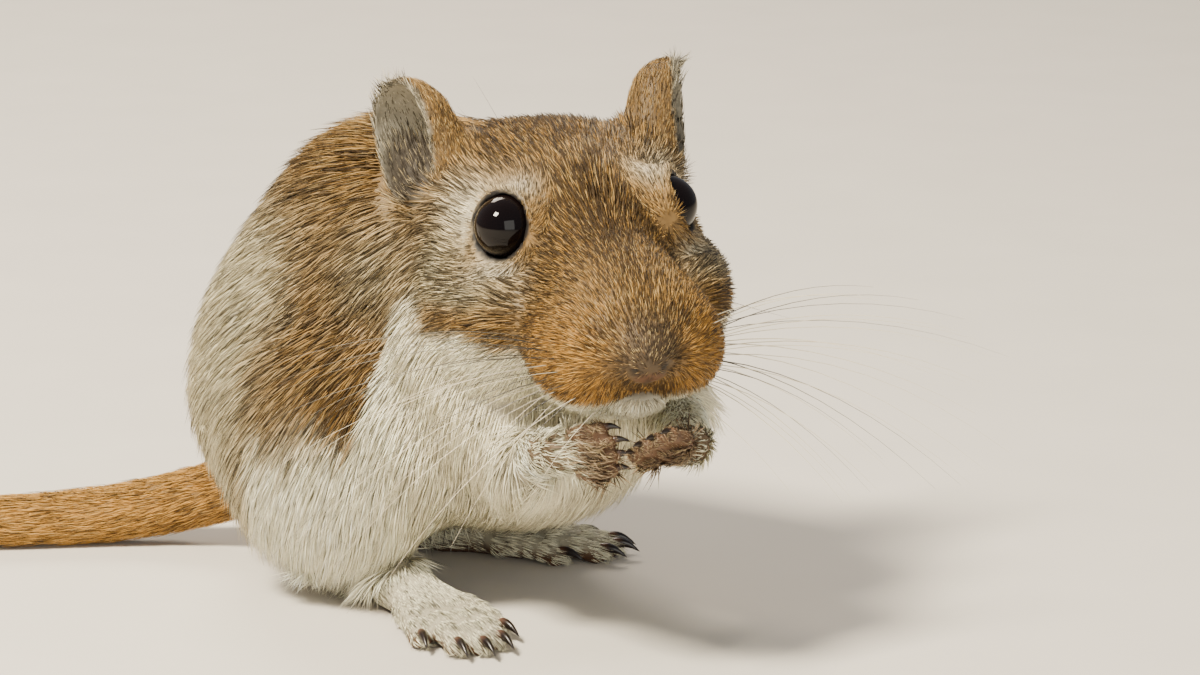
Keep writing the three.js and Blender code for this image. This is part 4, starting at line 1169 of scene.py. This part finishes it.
class GERBIL_OT_whiskers(bpy.types.Operator):
    """Builds the whiskers and the long hairs of brow and cheek"""

    bl_idname = "gerbil.whiskers"
    bl_label = "Whiskers"

    def execute(self, context):
        s = settings()
        random = np.random.default_rng(s.seed)
        paths, tapers, tones = [], [], []
        dark, pale = linear("#17110d"), linear("#e9dcc0")
        t = np.linspace(0, 1, HAIR_POINTS)[:, None]
        for side in (-1, 1):
            for n in range(s.whiskers):
                f = n / (s.whiskers - 1) * (len(PAD_FAN) - 1)
                i = min(int(f), len(PAD_FAN) - 2)
                a, b = np.array(PAD_FAN[i]), np.array(PAD_FAN[i + 1])
                out, forward, up, length = a + (b - a) * (f - i)
                back = forward - 0.25 * (side < 0)
                way = unit([out, -back + 0.25 * (random.random() - 0.5), up + 0.12 * (random.random() - 0.5)])
                length = length * (0.55 + 0.47 * random.random() ** 0.6)
                row, column = n % 4, (n * 7) % 5
                start = np.array([7.4 + 0.2 * row, -15.2 + 1.35 * column, -7.9 - 0.23 * n])
                for _ in range(6):
                    start[0] -= float(skin_form(from_head(on_side(start, side))[None])[0]) * 0.8
                start[0] -= 0.3
                line = start + way * length * t
                line[:, 2] -= (0.30 + 0.1 * (f > 3)) * length * t[:, 0] ** 2
                line[:, 1] += 0.08 * length * t[:, 0] ** 2
                paths.append(from_head(on_side(line, side)))
                tapers.append((1 - 0.85 * t[:, 0]) * (0.75 + 0.4 * random.random()))
                black = random.random() < 0.45 - 0.04 * i + 0.25 * (f < 2.2)
                root_tone = dark if black else dark * 0.6 + pale * 0.4
                tip_tone = dark * 0.8 + pale * 0.2 if black else pale
                tones.append(root_tone + (tip_tone - root_tone) * smooth(t, 0.05, 0.55))
            for place, way, length in LONG_HAIRS:
                line = np.array(place) + unit(way) * length * t
                line[:, 1] += 0.25 * length * t[:, 0] ** 2
                paths.append(from_head(on_side(line, side)))
                tapers.append(0.7 * (1 - 0.85 * t[:, 0]))
                tones.append(np.repeat(dark[None], HAIR_POINTS, 0))
        count = len(paths)
        verts = metres(np.vstack(paths))
        mesh = bpy.data.meshes.new("whiskers")
        first = [HAIR_POINTS * i + j for i in range(count) for j in range(HAIR_POINTS - 1)]
        edges = [(point, point + 1) for point in first]
        mesh.from_pydata([tuple(v) for v in verts], edges, [])
        layer = mesh.attributes.new("taper", "FLOAT", "POINT")
        layer.data.foreach_set("value", np.concatenate(tapers).astype(np.float32))
        colours = mesh.attributes.new("coat", "FLOAT_COLOR", "POINT")
        rgba = np.ones((count * HAIR_POINTS, 4), np.float32)
        rgba[:, :3] = np.vstack(tones)
        colours.data.foreach_set("color", rgba.ravel())
        obj = bpy.data.objects.new("whisker_paths", mesh)
        bpy.context.scene.collection.objects.link(obj)
        material = whisker_material()
        tree, width = whisker_tree(material)
        modifier = obj.modifiers.new("sweep", "NODES")
        modifier.node_group = tree
        modifier[width] = s.whisker_width / 1000
        bpy.context.view_layer.update()
        depsgraph = bpy.context.evaluated_depsgraph_get()
        plain = bpy.data.meshes.new_from_object(obj.evaluated_get(depsgraph), depsgraph=depsgraph)
        bpy.data.objects.remove(obj)
        swept = bpy.data.objects.new("whiskers", plain)
        bpy.context.scene.collection.objects.link(swept)
        if not len(plain.polygons):
            raise RuntimeError("the whiskers have no faces")
        if not plain.materials:
            plain.materials.append(material)
        plain.polygons.foreach_set("use_smooth", np.ones(len(plain.polygons), bool))
        finish(swept, "pale_fur")
        return {"FINISHED"}


def unwrap_of_skin():
    """UVs of the skin's own shape, from a thinned copy of it: a tree to find faces, corners and UVs."""
    verts, quads = _kept["skin"]
    copy = mesh_object("skin_unwrap", metres(verts), quads, 4)
    thin = copy.modifiers.new("thin", "DECIMATE")
    thin.ratio = 0.06
    depsgraph = bpy.context.evaluated_depsgraph_get()
    mesh = bpy.data.meshes.new_from_object(copy.evaluated_get(depsgraph), depsgraph=depsgraph)
    bpy.data.objects.remove(copy)
    obj = bpy.data.objects.new("unwrap", mesh)
    bpy.context.scene.collection.objects.link(obj)
    mesh.uv_layers.new(name="UVMap")
    for other in bpy.context.selected_objects:
        other.select_set(False)
    bpy.context.view_layer.objects.active = obj
    obj.select_set(True)
    bpy.ops.object.mode_set(mode="EDIT")
    bpy.ops.mesh.select_all(action="SELECT")
    bpy.ops.uv.smart_project(angle_limit=1.2, island_margin=0.002)
    bpy.ops.object.mode_set(mode="OBJECT")
    mesh.calc_loop_triangles()
    tris = np.empty(len(mesh.loop_triangles) * 3, np.int32)
    mesh.loop_triangles.foreach_get("vertices", tris)
    loops = np.empty(len(mesh.loop_triangles) * 3, np.int32)
    mesh.loop_triangles.foreach_get("loops", loops)
    co = np.empty(len(mesh.vertices) * 3)
    mesh.vertices.foreach_get("co", co)
    uv = np.empty(len(mesh.loops) * 2)
    mesh.uv_layers.active.data.foreach_get("uv", uv)
    co, uv = co.reshape(-1, 3), uv.reshape(-1, 2)
    tris, loops = tris.reshape(-1, 3), loops.reshape(-1, 3)
    tree = BVHTree.FromPolygons([Vector(c) for c in co], [tuple(t) for t in tris])
    bpy.data.objects.remove(obj)
    return tree, co[tris], uv[loops]


def root_patches(points, unwrap):
    """The place on the unwrap of each root."""
    tree, corners, uvs = unwrap
    index = np.array([tree.find_nearest(Vector(p))[2] or 0 for p in points])
    a, b, c = (corners[index, i] for i in range(3))
    v0, v1, v2 = b - a, c - a, points - a
    d00, d01, d11 = (v0 * v0).sum(1), (v0 * v1).sum(1), (v1 * v1).sum(1)
    d20, d21 = (v2 * v0).sum(1), (v2 * v1).sum(1)
    den = np.maximum(d00 * d11 - d01 * d01, 1e-18)
    v = np.clip((d11 * d20 - d01 * d21) / den, 0, 1)
    w = np.clip((d00 * d21 - d01 * d20) / den, 0, 1)
    u = np.clip(1 - v - w, 0, 1)
    total = (u + v + w)[:, None]
    uv = uvs[index]
    return (u[:, None] * uv[:, 0] + v[:, None] * uv[:, 1] + w[:, None] * uv[:, 2]) / total


PALE_SHARE = 0.26  # share of locks with a pale band
PIECE_LOCKS = 19500  # most locks in one piece of the coat
DARK_MIDDLE = 0.8  # share of the dark tone in the middle of a dark lock
LOCKS_ON = {"foot": 24.0, "hand": 26.0, "arm": 12.0, "tail": 16.0, "ear": 22.0}  # to a square mm
HAIR_ON = {  # length, rise and half width of a lock in mm
    "foot": (1.5, 0.1, 0.05),
    "hand": (0.9, 0.08, 0.04),
    "arm": (2.6, 0.4, 0.065),
    "tail": (2.5, 0.4, 0.055),
    "ear": (0.95, 0.15, 0.042),
}
PATCH = 0.003  # width of one lock's patch on the unwrap


class GERBIL_OT_coat(bpy.types.Operator):
    """Builds the coat as locks over the skin"""

    bl_idname = "gerbil.coat"
    bl_label = "Coat"

    def execute(self, context):
        s = settings()
        random = np.random.default_rng(s.seed)
        verts, quads = _kept["skin"]
        sampler = SkinSampler(verts, quads)
        middle = sampler.middle
        weights, h = part_weights(middle)
        front = smooth(-h[:, 1], -6, 10) * weights["head"]
        density = s.body_density + (s.face_density * 0.62 - s.body_density) * weights["head"]
        density = density + (s.face_density - density) * front
        for group, value in LOCKS_ON.items():
            density = density + (value - density) * weights[group]
        density = density * (1 + 1.6 * tuft_share(middle, weights))
        bare = np.zeros(len(middle))
        for side in (-1, 1):
            along, away, far = eye_axes(h, side)
            bare = np.maximum(bare, (away < LID_REACH[side] + 0.12) & (along > -2) & (far < 6))
            q = h - on_side(NOSTRIL, side)
            bare = np.maximum(bare, np.linalg.norm(q, axis=1) < 0.6)
        bare = np.maximum(bare, nose_groove(h, 0.2, -16.5) | (nose_tip(h) > 0.6))
        sole = (middle[:, 2] < 0.7) & (weights["foot"] > 0.5)
        bare = np.maximum(bare, sole)
        bare = np.maximum(bare, middle[:, 2] < 0.5)
        density = density * (1 - bare)
        points = sampler.draw(density, random)
        normal = unit(slope_of(lambda q: in_chunks(skin_form, q), points, 0.25))
        colour, ticked, root, weights, h = markings(points)
        way = lie_of_coat(points, weights, h, normal)
        n = len(points)
        head, y = weights["head"], h[:, 1]
        muzzle = smooth(-y, 4, 15)
        length = s.body_hair + (s.face_hair * (1.75 - 0.9 * muzzle) - s.body_hair) * head
        longer = smooth(14 - points[:, 2], -6, 8) * (1 - head)
        length = length * (1 + 0.25 * longer)
        rise = s.body_rise + (0.55 - 0.3 * muzzle - s.body_rise) * head
        width = s.hair_width + (s.hair_width * (0.78 - 0.2 * muzzle) - s.hair_width) * head
        for side in (-1, 1):
            far = eye_axes(h, side)[2]
            close = smooth(6.2 - far, -1.2, 2.2)
            length = length * (1 - 0.6 * close)
            rise = rise * (1 - 0.65 * close)
            width = width * (1 - 0.25 * close)
        for group, size in HAIR_ON.items():
            w = weights[group]
            length, rise, width = (a + (b - a) * w for a, b in zip((length, rise, width), size))
        inner = weights["ear_inner"]
        length = length + 0.9 * inner
        nose_hair = smooth(near(h, 0, -18.0, -8.9, (2.8, 2.4, 3.1), False), 0.3, 0.8)
        length = length * (1 - 0.4 * nose_hair)
        rise = rise * (1 - 0.5 * nose_hair)
        tuft = tuft_share(points, weights)
        length = length + 7.0 * tuft
        rise = rise + 1.1 * tuft
        width = width * (1 + 0.4 * tuft)
        vary = random.random((5, n))
        length = length * (0.7 + 0.55 * vary[0])
        rise = rise * (0.35 + 0.95 * vary[1] ** 1.5) * (1 + 0.25 * (vary[4] < ticked))
        width = width * (0.75 + 0.5 * vary[2])
        clump = np.sin(points @ np.array([2.1, 1.3, 1.7])) + np.sin(points @ np.array([-1.2, 2.4, 0.9]) + 1.7)
        sway = 0.16 * (vary[3] - 0.5) + 0.05 * clump
        sway = sway * (1 - 0.6 * weights["foot"])
        roots = points - normal * 0.05
        shape, faces = tufts(roots, normal, way, length, width, rise, sway)
        # keep every hair above the floor
        shape[:, :, 2] = np.maximum(shape[:, :, 2], 0.06)
        # colour along each lock
        dark = vary[4] < ticked
        light = vary[4] > 1 - PALE_SHARE
        vary[2] = random.random(n) ** 0.8
        spread = 0.5 + 0.62 * head * (1 - np.clip(colour.mean(1) * 1.3, 0, 1))
        tip_colour = colour * (1.1 + spread * (vary[2] - 0.55))[:, None]
        tip_colour = np.where(dark[:, None], TONE["tip_dark"] * (0.7 + 0.8 * vary[0])[:, None], tip_colour)
        bright = 1 - np.clip(colour.mean(1) * 1.4, 0, 1)
        tip_colour = np.where(
            (light & ~dark)[:, None], mix(tip_colour, TONE["tip_pale"], 0.9 * bright), tip_colour
        )
        tip_colour = mix(tip_colour, TONE["tip_dark"], 0.88 * tuft)
        mid_colour = colour * (1.0 + 1.15 * spread * (vary[2] - 0.55))[:, None]
        darker = mix(mid_colour, TONE["tip_dark"], np.full(n, DARK_MIDDLE))
        mid_colour = np.where(dark[:, None], darker, mid_colour)
        mid_colour = mix(mid_colour, TONE["tip_dark"] * 1.6, 0.7 * tuft)
        colours = np.empty((n, len(LEVELS), 3))
        for i, t in enumerate(LEVELS):
            colours[:, i] = tip_colour if t == 1 else mid_colour if t else root
        colours = np.clip(colours, 0.004, 0.95)
        patch = root_patches(metres(points), unwrap_of_skin())
        spread = np.stack([np.tile((0.5, -0.5, 0.0), 3)[: len(LEVELS)], LEVELS - 0.5], 1) * PATCH
        uv = np.clip(patch[:, None] + spread[None], 0, 1)
        material = coat_material("agouti_hair", 0.6)
        order = np.argsort(head + 2 * (points[:, 1] > 16) + 0.001 * points[:, 1], kind="stable")
        pieces = max(1, math.ceil(n / PIECE_LOCKS))
        for piece, rows in enumerate(np.array_split(order, pieces)):
            m = len(rows)
            tri = (faces[None] + len(LEVELS) * np.arange(m)[:, None, None]).reshape(-1, 3)
            obj = mesh_object(f"coat_{piece + 1:02d}", metres(shape[rows].reshape(-1, 3)), tri, 3)
            colour_layer(obj, "coat", colours[rows].reshape(-1, 3))
            layer = obj.data.uv_layers.new(name="OFBake")
            layer.data.foreach_set("uv", uv[rows].reshape(-1, 2)[tri.ravel()].astype(np.float32).ravel())
            obj.data.materials.append(material)
            finish(obj, "agouti_fur")
        return {"FINISHED"}


VIEW_PLACE = np.array([-324.635, -201.626, 111.046])
VIEW_TURN = (77.0, 0.0, -61.0)  # degrees from looking straight down
LENS, SENSOR = 123.39, 36  # mm
LIT_PLACE = (-4.0, -14.0, 24.0)  # where the lights point
FLOOR_REACH = 3.0  # metres
# name, place and size in metres, power in watts, colour; places count from halfway to the lit place
LIGHTS = (
    ("key", (-0.34, 0.10, 0.50), 0.14, 12.0, "#fff4dc"),
    ("front_fill", (-0.55, -0.62, 0.25), 0.5, 3.0, "#fbf8ee"),
    ("rim", (0.35, 0.35, 0.42), 0.25, 3.0, "#fff0da"),
)


class GERBIL_OT_stage(bpy.types.Operator):
    """Builds the floor, lights and camera"""

    bl_idname = "gerbil.stage"
    bl_label = "Stage"

    def execute(self, context):
        scene = bpy.context.scene
        material, tree = new_material("painted_board_floor")
        place = add_node(tree, "ShaderNodeTexCoord").outputs["Object"]
        grain = add_node(tree, "ShaderNodeTexNoise", {"Scale": 60.0, "Detail": 3.0}, {"Vector": place})
        tone = add_node(tree, "ShaderNodeValToRGB", None, {"Fac": grain.outputs["Fac"]})
        base = np.array(settings().floor_tone)
        tone.color_ramp.elements[0].color = (*(base * 0.94), 1)
        tone.color_ramp.elements[1].color = (*(base * 1.04), 1)
        close_material(tree, {"Roughness": 0.7}, {"Base Color": tone.outputs["Color"]})
        corners = [(FLOOR_REACH * a, FLOOR_REACH * b, 0) for a, b in ((-1, -1), (1, -1), (1, 1), (-1, 1))]
        floor = mesh_object("floor", corners, [(0, 1, 2, 3)], 4)
        floor.data.materials.append(material)
        world = bpy.data.worlds.new("soft_room")
        world.use_nodes = True
        world.node_tree.nodes["Background"].inputs["Color"].default_value = (*linear("#e4e8ee"), 1)
        world.node_tree.nodes["Background"].inputs["Strength"].default_value = 0.38
        scene.world = world
        target = Vector(metres(LIT_PLACE))
        for name, place, size, power, tone in LIGHTS:
            light = bpy.data.lights.new(name, "AREA")
            light.energy = power
            light.size = size
            light.color = linear(tone)
            lamp = bpy.data.objects.new(name, light)
            lamp.location = Vector(place) + target * 0.5
            lamp.rotation_euler = (target - lamp.location).to_track_quat("-Z", "Y").to_euler()
            scene.collection.objects.link(lamp)
        view = bpy.data.cameras.new("view")
        view.lens = LENS
        view.sensor_width = SENSOR
        view.sensor_fit = "HORIZONTAL"
        view.clip_start = 0.01
        camera = bpy.data.objects.new("view", view)
        camera.location = Vector(metres(VIEW_PLACE))
        camera.rotation_euler = [math.radians(a) for a in VIEW_TURN]
        scene.collection.objects.link(camera)
        scene.camera = camera
        return {"FINISHED"}


class GERBIL_PT_panel(bpy.types.Panel):
    """Lists the pieces and their sizes"""

    bl_idname = "GERBIL_PT_panel"
    bl_label = "Gerbil"
    bl_space_type = "VIEW_3D"
    bl_region_type = "UI"
    bl_category = "Gerbil"

    def draw(self, context):
        column = self.layout.column()
        for name in GerbilSettings.__annotations__:
            column.prop(context.scene.gerbil, name)
        for piece in PIECES:
            column.operator(piece.bl_idname)


PIECES = (
    GERBIL_OT_skin,
    GERBIL_OT_eyes,
    GERBIL_OT_claws,
    GERBIL_OT_whiskers,
    GERBIL_OT_coat,
    GERBIL_OT_stage,
)
CLASSES = (GerbilSettings, *PIECES, GERBIL_PT_panel)


def register():
    for cls in CLASSES:
        bpy.utils.register_class(cls)
    bpy.types.Scene.gerbil = PointerProperty(type=GerbilSettings)


def unregister():
    del bpy.types.Scene.gerbil
    for cls in reversed(CLASSES):
        bpy.utils.unregister_class(cls)


def main():
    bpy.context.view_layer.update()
    register()
    for piece in PIECES:
        group, name = piece.bl_idname.split(".")
        getattr(getattr(bpy.ops, group), name)()


if __name__ == "__main__":
    main()
